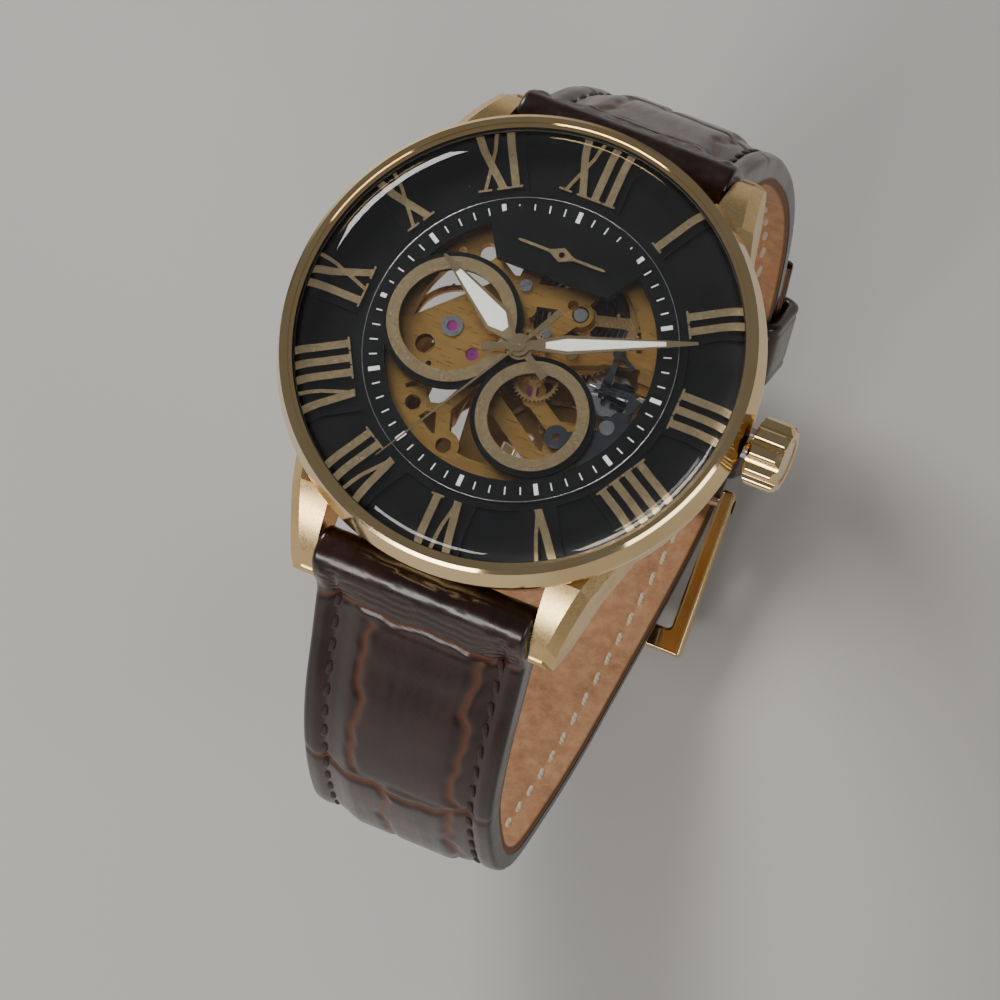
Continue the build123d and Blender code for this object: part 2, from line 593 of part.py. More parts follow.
def build_train():
    barrel_module = module_for(CENTRE, BARREL_AT, BARREL_TEETH, CENTRE_LEAVES)
    barrel_phase = meshing_phase(CENTRE_LEAVES, 0, CENTRE, BARREL_TEETH, BARREL_AT)
    teeth = gear_outline(BARREL_TEETH, barrel_module, barrel_phase)
    drum = wheel(BARREL_AT, spoked(teeth, 4.6, 1.5, 5, 1.1), -3.0, -2.75)
    drum += ring(5.25, 4.9, -3.6, -2.75, BARREL_AT)
    drum -= disc(0.72, -5, 0, BARREL_AT)
    save("barrel", drum)
    save("mainspring", Pos(*BARREL_AT, -3.5) * extrude(spiral(1.3, 4.6, 7, 0.16), 0.42))

    third_phase = meshing_phase(CENTRE_TEETH, 0, CENTRE, THIRD_LEAVES, THIRD_AT)
    centre_module = module_for(CENTRE, THIRD_AT, CENTRE_TEETH, THIRD_LEAVES)
    centre = wheel(CENTRE, spoked(gear_outline(CENTRE_TEETH, centre_module, 0), 3.5, 1.2, 5, 0.5),
                   -4.2, -4.05)
    centre += wheel(CENTRE, gear_outline(CENTRE_LEAVES, barrel_module, 0, leaf=True), -4.1, -2.72)
    centre += disc(0.34, -4.3, 0.3)
    save("centre_wheel", centre - disc(0.19, -5, 2))

    third_module = module_for(CENTRE, THIRD_AT, THIRD_TEETH, FOURTH_LEAVES)
    third = wheel(THIRD_AT, spoked(gear_outline(THIRD_TEETH, third_module, 0), 3.5, 0.9, 5, 0.45),
                  -4.55, -4.4)
    third += wheel(THIRD_AT, gear_outline(THIRD_LEAVES, centre_module, third_phase, leaf=True),
                   -4.45, -3.9)
    third += disc(0.2, -4.6, -2.65, THIRD_AT) + disc(0.1, -5.8, -1.7, THIRD_AT)
    save("third_wheel", third)

    fourth_phase = meshing_phase(THIRD_TEETH, 0, THIRD_AT, FOURTH_LEAVES, CENTRE)
    fourth_module = module_for(CENTRE, ESCAPE_AT, FOURTH_TEETH, ESCAPE_LEAVES)
    fourth = wheel(CENTRE, spoked(gear_outline(FOURTH_TEETH, fourth_module, 0), 2.95, 0.8, 5, 0.4),
                   -4.87, -4.72)
    fourth += wheel(CENTRE, gear_outline(FOURTH_LEAVES, third_module, fourth_phase, leaf=True),
                    -4.75, -4.36)
    fourth += disc(0.14, -5.8, SECOND_LEVEL + 0.25)
    save("fourth_wheel", fourth)

    escape_phase = meshing_phase(FOURTH_TEETH, 0, CENTRE, ESCAPE_LEAVES, ESCAPE_AT)
    points = []
    for n in range(ESCAPE_POINTS):
        base = 360 * n / ESCAPE_POINTS
        for radius, lead in ((1.3, 0), (1.74, 9), (1.74, 11), (1.3, 7)):
            points.append((radius * cos(radians(base + lead)), radius * sin(radians(base + lead))))
    escape = wheel(ESCAPE_AT, spoked(shape_of(*points), 1.1, 0.5, 4, 0.22), -3.86, -3.72)
    escape += wheel(ESCAPE_AT, gear_outline(ESCAPE_LEAVES, fourth_module, escape_phase, leaf=True),
                    -4.9, -4.66)
    escape += disc(0.16, -4.9, -3.72, ESCAPE_AT) + disc(0.1, -5.8, -1.7, ESCAPE_AT)
    save("escape_wheel", escape)


def build_escapement():
    """The pallet fork lies between escape wheel and balance; its stones stand clear of the teeth."""
    direction = bearing(PALLET_AT, BALANCE_AT)
    lever = link((0, 0), (2.1, 0), 0.34) + Circle(0.42)
    lever += Pos(2.25, 0.26) * Rectangle(0.5, 0.2) + Pos(2.25, -0.26) * Rectangle(0.5, 0.2)
    arms = link((0, 0), (-0.75, 1.45), 0.36) + link((0, 0), (-0.75, -1.45), 0.36)
    fork = Pos(*PALLET_AT, -3.86) * Rot(0, 0, direction) * extrude(lever + arms, 0.14)
    fork += disc(0.1, -5.5, -1.7, PALLET_AT) + disc(0.18, -4.0, -3.7, PALLET_AT)
    save("pallet_fork", fork)

    rim = Circle(4.6) - Circle(4.1)
    arms = Rectangle(8.6, 0.5) + Circle(0.7)
    balance = Pos(*BALANCE_AT, -3.55) * extrude(rim, 0.55)
    balance += Pos(*BALANCE_AT, -3.5) * Rot(0, 0, 62) * extrude(arms, 0.25)
    for n in range(8):
        spot = polar(4.62, 45 * n + 20)
        balance += disc(0.16, -3.45, -3.05, (BALANCE_AT[0] + spot[0], BALANCE_AT[1] + spot[1]))
    balance += disc(0.22, -4.4, -2.9, BALANCE_AT) + disc(0.09, -5.2, -1.8, BALANCE_AT)
    balance += disc(0.75, -4.04, -3.94, BALANCE_AT)
    save("balance_wheel", balance)
    save("hairspring", Pos(*BALANCE_AT, -4.32) * extrude(spiral(0.42, 2.3, 8, 0.05), 0.12))


# ---------------------------------------------------------------- hands and motion works

def build_motion_works():
    fast = module_for(CENTRE, MINUTE_WHEEL_AT, CANNON_LEAVES, MINUTE_TEETH)
    slow = module_for(CENTRE, MINUTE_WHEEL_AT, MINUTE_LEAVES, HOUR_TEETH)
    cannon = wheel(CENTRE, gear_outline(CANNON_LEAVES, fast, 0, leaf=True), -1.38, -1.1)
    cannon += disc(0.5, -1.38, MINUTE_LEVEL + HAND_THICKNESS)
    save("cannon_pinion", cannon - disc(0.34, -3, 0.3) - disc(0.2, 0, 3))

    minute_phase = meshing_phase(CANNON_LEAVES, 0, CENTRE, MINUTE_TEETH, MINUTE_WHEEL_AT)
    outline = spoked(gear_outline(MINUTE_TEETH, fast, minute_phase), 1.8, 0.85, 4, 0.4)
    minute = wheel(MINUTE_WHEEL_AT, outline, -1.34, -1.16)
    minute += wheel(MINUTE_WHEEL_AT, gear_outline(MINUTE_LEAVES, slow, 0, leaf=True), -1.2, -0.84)
    minute += disc(0.24, -2.2, -1.2, MINUTE_WHEEL_AT)
    save("minute_wheel", minute)

    hour_phase = meshing_phase(MINUTE_LEAVES, 0, MINUTE_WHEEL_AT, HOUR_TEETH, CENTRE)
    hour = wheel(CENTRE, spoked(gear_outline(HOUR_TEETH, slow, hour_phase), 1.95, 1.1, 4, 0.4),
                 -1.04, -0.88)
    hour += disc(0.78, -1.04, HOUR_LEVEL + HAND_THICKNESS)
    save("hour_wheel", hour - disc(0.55, -3, 3))


def lance(length, tail, wide, wide_at, tip):
    """A lance-shaped hand along +Y with a counterweight tail."""
    return shape_of(
        (-0.45, -tail), (0.45, -tail), (0.3, -0.6), (0.42, 1.0), (wide / 2, wide_at),
        (tip / 2, length), (-tip / 2, length), (-wide / 2, wide_at), (-0.42, 1.0), (-0.3, -0.6),
    )


def hand(outline, hub, hole, level, angle, thickness=HAND_THICKNESS):
    solid = slab(outline + Circle(hub), level, level + thickness) - disc(hole, -1, 3)
    return Rot(0, 0, -angle) * solid


def build_hands():
    hour = lance(11.7, 3.9, 2.8, 3.4, 0.25) - shape_of(
        (-0.35, 2.2), (0.35, 2.2), (1.05, 3.5), (0.28, 9.6), (-0.28, 9.6), (-1.05, 3.5))
    minute = lance(16.7, 3.5, 1.9, 4.4, 0.3) - shape_of(
        (-0.3, 2.5), (0.3, 2.5), (0.62, 4.5), (0.22, 13.7), (-0.22, 13.7), (-0.62, 4.5))
    second = shape_of((-0.14, -0.5), (0.14, -0.5), (0.05, 16.8), (-0.05, 16.8))
    second += shape_of((-0.36, -5.0), (0.36, -5.0), (0.16, -0.4), (-0.16, -0.4))
    save("hour_hand", hand(hour, 1.3, 0.78, HOUR_LEVEL, HOUR_ANGLE))
    save("minute_hand", hand(minute, 1.0, 0.5, MINUTE_LEVEL, MINUTE_ANGLE))
    save("seconds_hand", hand(second, 0.62, 0.14, SECOND_LEVEL, SECOND_ANGLE, SECOND_THICKNESS))


# ---------------------------------------------------------------- winding works and rotor

def gear_x(teeth, module, start, end):
    outline = gear_outline(teeth, module, 0)
    return Pos(start, 0, STEM_Z) * Rot(0, 90, 0) * extrude(outline, end - start)


def build_winding():
    flutes = 10
    outline = Circle(2.85)
    for n in range(flutes):
        outline += Pos(*polar(2.65, 360 * n / flutes)) * Circle(0.74)
    crown = Pos(23.5, 0, STEM_Z) * Rot(0, 90, 0) * extrude(outline, 3.3)
    crown &= turned_x((23.5, 0), (23.5, 3.0), (23.9, 3.45), (26.2, 3.45), (26.8, 2.9), (26.8, 0))
    crown -= rod_x(1.6, 23.0, 24.7) + rod_x(2.25, 26.65, 27.0)
    crown += turned_x((26.5, 0), (26.5, 2.0), (26.72, 1.9), (26.78, 0))
    save("crown", crown)

    square = 0.78
    stem = rod_x(0.6, 11.85, 24.7) + rod_x(0.34, 11.1, 11.85) + rod_x(0.55, 9.85, 11.15)
    stem += Pos(8.75, 0, STEM_Z) * Box(2.3, square, square)
    stem += rod_x(0.28, 7.0, 7.65)
    save("winding_stem", stem)
    save("winding_pinion", gear_x(14, 0.15, 9.95, 11.0) - rod_x(0.62, 9.0, 12.0))
    clutch = gear_x(12, 0.15, 8.1, 8.55) + rod_x(0.58, 8.5, 9.1) + gear_x(12, 0.15, 9.05, 9.85)
    save("sliding_pinion", clutch - Pos(9.0, 0, STEM_Z) * Box(3, square + 0.06, square + 0.06))

    lever = link(SETTING_LEVER_PIVOT, (11.45, -0.1), 0.7) + link(SETTING_LEVER_PIVOT, (10.0, -3.0), 0.6)
    lever = slab(lever, -1.36, -1.14) + disc(0.2, -2.1, -1.2, (11.45, -0.05))
    lever += disc(0.25, -2.3, -1.14, SETTING_LEVER_PIVOT)
    save("setting_lever", lever)
    yoke = link(YOKE_PIVOT, (8.75, 0.6), 0.6) + link(YOKE_PIVOT, (10.3, 2.4), 0.5)
    yoke = slab(yoke + Pos(*YOKE_PIVOT) * Circle(0.6), -1.36, -1.14)
    yoke += disc(0.17, -1.9, -1.2, (8.8, 0.45)) + disc(0.22, -2.3, -1.14, YOKE_PIVOT)
    save("yoke", yoke)

    winding_module = module_for(CROWN_WHEEL_AT, BARREL_AT, CROWN_WHEEL_TEETH, RATCHET_TEETH)
    crown_teeth = gear_outline(CROWN_WHEEL_TEETH, winding_module, 0)
    crown_wheel = wheel(CROWN_WHEEL_AT, crown_teeth, -6.35, -6.05)
    crown_wheel += disc(0.78, -6.1, -3.8, CROWN_WHEEL_AT) + disc(2.3, -4.05, -3.86, CROWN_WHEEL_AT)
    save("crown_wheel", crown_wheel)
    ratchet_phase = meshing_phase(CROWN_WHEEL_TEETH, 0, CROWN_WHEEL_AT, RATCHET_TEETH, BARREL_AT)
    ratchet_teeth = gear_outline(RATCHET_TEETH, winding_module, ratchet_phase)
    ratchet = wheel(BARREL_AT, spoked(ratchet_teeth, 3.7, 1.6, 4, 1.0), -6.35, -6.05)
    ratchet += disc(0.88, -6.1, -3.75, BARREL_AT) + disc(0.66, -3.8, -1.6, BARREL_AT)
    save("ratchet_wheel", ratchet)


def build_rotor():
    bearing_post = disc(1.25, -6.3, -4.95) - disc(0.2, -6, 0) + ring(1.9, 0.6, -6.5, -6.0)
    bearing_post += disc(0.5, -7.1, -6.3) + disc(0.95, -7.3, -7.05)
    save("rotor_bearing", bearing_post)
    half = Circle(12.4) & Pos(0, -6.4) * Rectangle(26, 12.8)
    web = half - (Circle(9.8) - Circle(2.6)) + Circle(2.6)
    for angle in (100, 140, 180, 220, 260):
        web += link((0, 0), polar(10.2, angle), 1.5)
    rotor = slab(web & (half + Circle(2.6)), -6.95, -6.6)
    rotor += slab(half - Circle(10.0), -7.55, -6.6)
    save("rotor", rotor - disc(0.58, -8, -6))


# ---------------------------------------------------------------- strap

class StrapLine:
    """A middle line in the YZ plane with a thickness that fades from the lug to the end."""

    def __init__(self, points, thickness):
        self.curve = Spline(*points)
        self.thickness = thickness

    def thick(self, share):
        start, body, end = self.thickness
        if share < 0.25:
            return start + (body - start) * share / 0.25
        return body + (end - body) * (share - 0.25) / 0.75

    def side(self, share, fraction, outward):
        """A point at a fraction of half the thickness to one side of the middle line."""
        at = self.curve @ share
        along = self.curve % share
        normal = (along.Y * outward, -along.X * outward)
        reach = fraction * self.thick(share) / 2
        return (at.X + normal[0] * reach, at.Y + normal[1] * reach)

    def band(self, low, high, start, end, outward, steps=36):
        """The outline between two fractions of the thickness, from start to end of the line."""
        shares = [start + (end - start) * n / steps for n in range(steps + 1)]
        upper = [self.side(s, high(s), outward) for s in shares]
        lower = [self.side(s, low(s), outward) for s in shares]
        return shape_of(*upper, *reversed(lower))


def across(outline, half):
    """Extrudes a (y, z) outline to both sides of the middle plane."""
    return extrude(Plane.YZ * outline, half, both=True)


def tapered():
    """The strap's outline seen from twelve or six: wide at the lugs, narrower below."""
    return extrude(Plane.XZ * shape_of(
        (-STRAP_HALF_LUG, 0), (STRAP_HALF_LUG, 0), (STRAP_HALF_LUG, -7), (STRAP_HALF_END, -30),
        (STRAP_HALF_END, -80), (-STRAP_HALF_END, -80), (-STRAP_HALF_END, -30), (-STRAP_HALF_LUG, -7),
    ), 50, both=True)


def strap_half(line, outward, first, last):
    """The padded upper, with the roll round its spring bar, and the lining."""
    def seam(share):
        return -1 + 2 * LINING / line.thick(share)

    def glue_line(share):
        return seam(share) - 2 * GLUE / line.thick(share)

    upper = line.band(seam, lambda share: 1, first, last, outward)
    lining = line.band(lambda share: -1, glue_line, 0.05, last - 0.004, outward)
    return upper, lining


def roll(at, radius):
    """A cylinder across the whole width, round a spring bar."""
    return across(Pos(*at) * Circle(radius), STRAP_HALF_LUG + 1)


def build_strap():
    short = StrapLine(SHORT_LINE, SHORT_THICKNESS)
    long = StrapLine(LONG_LINE, LONG_THICKNESS)
    envelope = tapered()
    wide = STRAP_HALF_LUG + 1
    lug_roll, bar_hole = SHORT_THICKNESS[0] / 2, 0.82
    end_roll, end_hole = 1.5, 0.72

    upper, lining = strap_half(short, -1, 0, 0.985)
    upper = across(upper, wide) + roll(SHORT_LINE[0], lug_roll) + roll(BUCKLE_BAR, end_roll)
    upper -= roll(SHORT_LINE[0], bar_hole) + roll(BUCKLE_BAR, end_hole)
    lining = across(lining, wide) - roll(SHORT_LINE[0], lug_roll + GLUE)
    lining -= roll(BUCKLE_BAR, end_roll + GLUE)
    tongue_gap = Pos(0, BUCKLE_BAR[0] + 0.4, BUCKLE_BAR[1]) * Box(3.0, 6.0, 6.0)
    save("strap_short", upper & envelope - tongue_gap)
    save("strap_short_lining", lining & envelope - tongue_gap)

    upper, lining = strap_half(long, 1, 0, 1)
    upper = across(upper, wide) + roll(LONG_LINE[0], lug_roll) - roll(LONG_LINE[0], bar_hole)
    lining = across(lining, wide) - roll(LONG_LINE[0], lug_roll + GLUE)
    low_y, high_y = TONGUE_SLOT_AT
    slot_outline = Rot(0, 0, 90) * SlotOverall(high_y - low_y + 2.4, 2.6)
    slot = Pos(0, (low_y + high_y) / 2, -70) * extrude(slot_outline, 8, both=True)
    for spare in (-11.0, -4.2):
        slot += Pos(0, spare, -64) * extrude(Circle(1.1), 8, both=True)
    save("strap_long", upper & envelope - slot)
    save("strap_long_lining", lining & envelope - slot)


def keeper(at, turn, length):
    """A leather band round both layers of the strap. turn is the strap's direction in YZ."""
    opening = (20.7, 6.5)
    wall = 1.2
    outer = RectangleRounded(opening[0] + 2 * wall, opening[1] + 2 * wall, 1.9)
    inner = RectangleRounded(opening[0], opening[1], 0.7)
    band = extrude(outer - inner, length / 2, both=True)
    return Pos(0, *at) * Rot(turn - 90, 0, 0) * band


FREE_KEEPER_AT = (25.51, -60.08)
FREE_KEEPER_TURN = 41.5
FIXED_KEEPER_AT = (14.96, -67.15)
FIXED_KEEPER_TURN = 22.5


def build_keepers():
    save("free_keeper", keeper(FREE_KEEPER_AT, FREE_KEEPER_TURN, 7.5))
    save("fixed_keeper", keeper(FIXED_KEEPER_AT, FIXED_KEEPER_TURN, 5.0))


def build_buckle():
    """A flared frame on the buckle bar, with a bent tongue that rests on its cross bar."""
    cross = (-6.2, -69.6)
    length = hypot(cross[0] - BUCKLE_BAR[0], cross[1] - BUCKLE_BAR[1])
    turn = degrees(atan2(cross[1] - BUCKLE_BAR[1], cross[0] - BUCKLE_BAR[0]))
    sides = shape_of(
        (-1.4, -12.3), (-1.4, -10.7), (length - 1.2, -11.2), (length - 1.2, 11.2),
        (-1.4, 10.7), (-1.4, 12.3), (length + 1.3, 13.2), (length + 1.3, -13.2),
    )
    outer = softened(sides, 0.45)
    frame = extrude(outer, 1.0, both=True)
    frame = fillet(frame.edges().filter_by(lambda e: abs((e @ 0.5).Z) > 0.9), 0.4)
    frame = Plane(origin=(0, 0, 0), x_dir=(0, cos(radians(turn)), sin(radians(turn))),
                  z_dir=(0, -sin(radians(turn)), cos(radians(turn)))) * frame
    frame = Pos(0, *BUCKLE_BAR) * frame - rod_x(0.76, -20, 20, *BUCKLE_BAR)
    save("buckle_frame", frame)

    y, z = BUCKLE_BAR
    path = ((y, z), (y - 2.6, z - 0.1), (y - 5.6, z - 3.1), (-5.4, -71.6), (-7.7, -71.35))
    outline = Pos(y, z) * Circle(1.3)
    for start, end in zip(path, path[1:]):
        outline += link(start, end, 1.1)
    outline -= Pos(y, z) * Circle(0.74)
    save("buckle_tongue", across(outline, 1.05))


def build_spring_bars():
    tubes = []
    for y in (BAR_Y, -BAR_Y):
        tube = rod_x(0.78, -10.3, 10.3, y, BAR_Z)
        tube -= rod_x(0.56, 5.3, 11.0, y, BAR_Z) + rod_x(0.56, -11.0, -5.3, y, BAR_Z)
        tubes.append(tube)
    tubes.append(rod_x(0.7, -11.8, 11.8, *BUCKLE_BAR))
    save("spring_bars", *tubes)
    for name, y, side in (
        ("plunger_12_right", BAR_Y, 1), ("plunger_12_left", BAR_Y, -1),
        ("plunger_6_right", -BAR_Y, 1), ("plunger_6_left", -BAR_Y, -1),
    ):
        plunger = turned_x((6.4, 0), (6.4, 0.5), (10.8, 0.5), (10.8, 0.4), (11.9, 0.4), (12.0, 0.3),
                           (12.0, 0), y=y, z=BAR_Z)
        save(name, plunger if side > 0 else mirror(plunger, Plane.YZ))


build_case()
build_crystal()
build_dial()
build_plates()
build_train()
build_escapement()
build_motion_works()
build_hands()
build_winding()
build_rotor()
build_strap()
build_keepers()
build_buckle()
build_spring_bars()
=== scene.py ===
import math

import bpy
import numpy as np
from mathutils import Matrix, Vector


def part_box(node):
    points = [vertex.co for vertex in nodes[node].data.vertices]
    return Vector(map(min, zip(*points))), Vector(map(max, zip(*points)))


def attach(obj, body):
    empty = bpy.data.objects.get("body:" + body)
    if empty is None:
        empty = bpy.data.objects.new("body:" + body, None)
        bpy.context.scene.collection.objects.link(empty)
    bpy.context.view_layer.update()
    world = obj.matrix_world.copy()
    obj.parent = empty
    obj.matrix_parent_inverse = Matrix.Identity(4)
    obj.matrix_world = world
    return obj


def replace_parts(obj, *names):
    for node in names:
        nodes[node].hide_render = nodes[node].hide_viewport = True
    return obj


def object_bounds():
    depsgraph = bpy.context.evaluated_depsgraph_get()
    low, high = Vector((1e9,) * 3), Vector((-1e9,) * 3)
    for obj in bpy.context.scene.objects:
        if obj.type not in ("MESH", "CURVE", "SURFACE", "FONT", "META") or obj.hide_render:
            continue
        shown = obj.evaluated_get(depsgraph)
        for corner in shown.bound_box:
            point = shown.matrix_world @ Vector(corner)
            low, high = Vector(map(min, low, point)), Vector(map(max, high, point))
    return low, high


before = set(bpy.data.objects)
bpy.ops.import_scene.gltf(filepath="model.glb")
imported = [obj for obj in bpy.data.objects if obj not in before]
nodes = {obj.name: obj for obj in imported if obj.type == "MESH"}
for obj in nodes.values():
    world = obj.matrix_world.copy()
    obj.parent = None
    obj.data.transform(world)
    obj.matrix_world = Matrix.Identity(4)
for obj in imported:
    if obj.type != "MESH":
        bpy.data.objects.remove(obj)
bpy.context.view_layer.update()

MM = 0.001
DIAL_HEIGHT = 9.2      # millimetres from the case back's outer face up to the minute track


# ------------------------------------------------------------------ shader helpers

def new_material(name):
    material = bpy.data.materials.new(name)
    material.use_nodes = True
    tree = material.node_tree
    tree.nodes.clear()
    output = tree.nodes.new("ShaderNodeOutputMaterial")
    return material, tree, output


def add(tree, kind, inputs=None, **properties):
    node = tree.nodes.new("ShaderNode" + kind)
    for key, value in properties.items():
        setattr(node, key, value)
    for key, value in (inputs or {}).items():
        socket = node.inputs[key]
        if isinstance(value, bpy.types.NodeSocket):
            tree.links.new(value, socket)
        else:
            socket.default_value = value
    return node


def rgb(r, g, b):
    return (r, g, b, 1.0)


def place(tree, scale, rotation=(0, 0, 0)):
    """Object coordinates, in metres, stretched by scale."""
    source = add(tree, "TexCoord").outputs["Object"]
    return add(tree, "Mapping", {"Vector": source, "Scale": scale, "Rotation": rotation}).outputs["Vector"]


def polar_place(tree, centre, radial, around):
    """Coordinates that run round a centre: for turned and circularly grained metal."""
    source = add(tree, "TexCoord").outputs["Object"]
    moved = add(tree, "VectorMath", {0: source, 1: tuple(c * MM for c in centre) + (0,)},
                operation="SUBTRACT").outputs[0]
    parts = add(tree, "SeparateXYZ", {0: moved})
    flat = add(tree, "CombineXYZ", {"X": parts.outputs["X"], "Y": parts.outputs["Y"]}).outputs[0]
    radius = add(tree, "VectorMath", {0: flat}, operation="LENGTH").outputs["Value"]
    angle = add(tree, "Math", {0: parts.outputs["Y"], 1: parts.outputs["X"]}, operation="ARCTAN2").outputs[0]
    radius = add(tree, "Math", {0: radius, 1: radial}, operation="MULTIPLY").outputs[0]
    angle = add(tree, "Math", {0: angle, 1: around}, operation="MULTIPLY").outputs[0]
    height = add(tree, "Math", {0: parts.outputs["Z"], 1: radial}, operation="MULTIPLY").outputs[0]
    return add(tree, "CombineXYZ", {"X": radius, "Y": angle, "Z": height}).outputs[0]


def noise(tree, vector, scale, detail=3.0, roughness=0.55):
    return add(tree, "TexNoise", {"Vector": vector, "Scale": scale, "Detail": detail,
                                  "Roughness": roughness}).outputs["Fac"]


def ramp(tree, factor, *stops):
    node = add(tree, "ValToRGB", {"Fac": factor})
    elements = node.color_ramp.elements
    while len(elements) < len(stops):
        elements.new(0.5)
    for element, (position, color) in zip(elements, stops):
        element.position = position
        element.color = color
    return node.outputs["Color"]


def spread(tree, factor, low, high, start=0.0, end=1.0):
    return add(tree, "MapRange", {"Value": factor, "From Min": start, "From Max": end,
                                  "To Min": low, "To Max": high}).outputs["Result"]


def bump(tree, height, strength, distance, normal=None):
    inputs = {"Height": height, "Strength": strength, "Distance": distance}
    if normal is not None:
        inputs["Normal"] = normal
    return add(tree, "Bump", inputs).outputs["Normal"]


def mix_color(tree, factor, first, second, blend="MIX"):
    node = add(tree, "MixRGB", {"Fac": factor, "Color1": first, "Color2": second}, blend_type=blend)
    return node.outputs["Color"]


def finish_with(tree, output, **inputs):
    named = {key.replace("_", " "): value for key, value in inputs.items()}
    shader = add(tree, "BsdfPrincipled", named)
    tree.links.new(shader.outputs["BSDF"], output.inputs["Surface"])
    return shader


# ------------------------------------------------------------------ metals

def metal(name, color, worn, roughness, grain_scale, grain_size, bump_distance, rotation=(0, 0, 0), coat=0.0):
    """A metal with a directional grain, cloudy roughness and a few fine marks."""
    material, tree, output = new_material(name)
    grain = noise(tree, place(tree, grain_scale, rotation), grain_size, 4.0, 0.65)
    cloud = noise(tree, place(tree, (1, 1, 1)), 260.0, 3.0)
    marks = noise(tree, place(tree, (1, 1, 1), (0.4, 0.2, 0.9)), 2600.0, 5.0, 0.7)
    tone = mix_color(tree, spread(tree, cloud, 0.0, 0.5, 0.35, 0.75), rgb(*color), rgb(*worn))
    base = mix_color(tree, spread(tree, grain, 0.0, 0.22, 0.3, 0.8), tone, rgb(*worn))
    rough = add(tree, "Math", {0: spread(tree, grain, roughness * 0.75, roughness * 1.35, 0.25, 0.75),
                               1: spread(tree, marks, 0.0, roughness * 0.25, 0.45, 0.8)},
                operation="ADD").outputs[0]
    normal = bump(tree, grain, 0.5, bump_distance)
    finish_with(tree, output, Base_Color=base, Metallic=1.0, Roughness=rough, Normal=normal, Coat_Weight=coat,
                Coat_Roughness=0.05)
    return material


def turned_metal(name, color, worn, roughness, centre, bump_distance):
    """A metal whose grain runs round a centre, as left by a lathe."""
    material, tree, output = new_material(name)
    grain = noise(tree, polar_place(tree, centre, 9000.0, 2.0), 1.0, 4.0, 0.7)
    cloud = noise(tree, place(tree, (1, 1, 1)), 400.0, 3.0)
    base = mix_color(tree, spread(tree, grain, 0.0, 0.45, 0.3, 0.75), rgb(*color), rgb(*worn))
    rough = add(tree, "Math", {0: spread(tree, grain, roughness * 0.7, roughness * 1.3, 0.25, 0.75),
                               1: spread(tree, cloud, 0.0, roughness * 0.3, 0.4, 0.8)},
                operation="ADD").outputs[0]
    finish_with(tree, output, Base_Color=base, Metallic=1.0, Roughness=rough,
                Normal=bump(tree, grain, 0.45, bump_distance))
    return material


GOLD = (0.84, 0.61, 0.30)
GOLD_PALE = (0.92, 0.74, 0.45)
GOLD_DEEP = (0.56, 0.34, 0.12)
STEEL = (0.62, 0.62, 0.63)

polished_gold = metal("polished_gold", GOLD, GOLD_PALE, 0.075, (1, 1, 1), 900.0, 0.0000015)
brushed_gold = metal("brushed_gold", GOLD, GOLD_DEEP, 0.27, (1, 0.03, 1), 9000.0, 0.000006)
buckle_gold = metal("buckle_gold", GOLD, GOLD_PALE, 0.11, (1, 1, 1), 1300.0, 0.000002)
dial_gold = metal("dial_gold", (0.90, 0.68, 0.36), GOLD_PALE, 0.2, (1, 1, 1), 3600.0, 0.000004)
hand_gold = metal("hand_gold", (0.90, 0.70, 0.40), GOLD_PALE, 0.13, (1, 1, 1), 3000.0, 0.000002)
gilt_plate = metal("gilt_plate", (0.52, 0.31, 0.09), GOLD_DEEP, 0.3, (0.05, 1, 1), 7000.0, 0.000008,
                   (0, 0, 0.62))
gilt_bridge = metal("gilt_bridge", (0.54, 0.33, 0.11), GOLD_DEEP, 0.33, (1, 0.06, 1), 7000.0, 0.000008,
                    (0, 0, 0.3))
gilt_ring = turned_metal("gilt_ring", (0.7, 0.48, 0.2), GOLD_DEEP, 0.3, (0, 0), 0.000005)
steel = metal("bright_steel", STEEL, (0.8, 0.8, 0.82), 0.16, (1, 1, 1), 2400.0, 0.000002)
dark_steel = metal("dark_steel", (0.10, 0.105, 0.12), (0.3, 0.31, 0.34), 0.2, (0.06, 1, 1), 6000.0, 0.000004)
spring_steel = metal("spring_steel", (0.07, 0.07, 0.08), (0.16, 0.16, 0.18), 0.3, (1, 1, 1), 5000.0, 0.000003)


def wheel_material(node):
    low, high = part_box(node)
    centre = ((low + high) / 2)[:2]
    return turned_metal("turned_" + node, (0.80, 0.57, 0.25), GOLD_DEEP, 0.24,
                        [c / MM for c in centre], 0.000004)


# ------------------------------------------------------------------ dial, glass, rubber

def dial_black():
    """Matt black lacquer with a fine sparkle and a soft satin that varies in broad patches."""
    material, tree, output = new_material("dial_black")
    fine = noise(tree, place(tree, (1, 1, 1)), 14000.0, 3.0, 0.7)
    broad = noise(tree, place(tree, (1, 1, 1)), 320.0, 3.0)
    base = ramp(tree, fine, (0.3, rgb(0.002, 0.002, 0.0022)), (0.75, rgb(0.006, 0.006, 0.0066)))
    rough = add(tree, "Math", {0: spread(tree, broad, 0.3, 0.44, 0.3, 0.7),
                               1: spread(tree, fine, 0.0, 0.12, 0.4, 0.8)}, operation="ADD").outputs[0]
    finish_with(tree, output, Base_Color=base, Roughness=rough, Normal=bump(tree, fine, 0.3, 0.000006),
                Specular_IOR_Level=0.15)
    return material


def white_print(name, color, roughness):
    material, tree, output = new_material(name)
    fine = noise(tree, place(tree, (1, 1, 1)), 9000.0, 3.0, 0.7)
    base = mix_color(tree, spread(tree, fine, 0.0, 0.25, 0.35, 0.75), rgb(*color),
                     rgb(*(c * 0.72 for c in color)))
    finish_with(tree, output, Base_Color=base,
                Roughness=spread(tree, fine, roughness, roughness + 0.2, 0.3, 0.7),
                Normal=bump(tree, fine, 0.35, 0.000008))
    return material


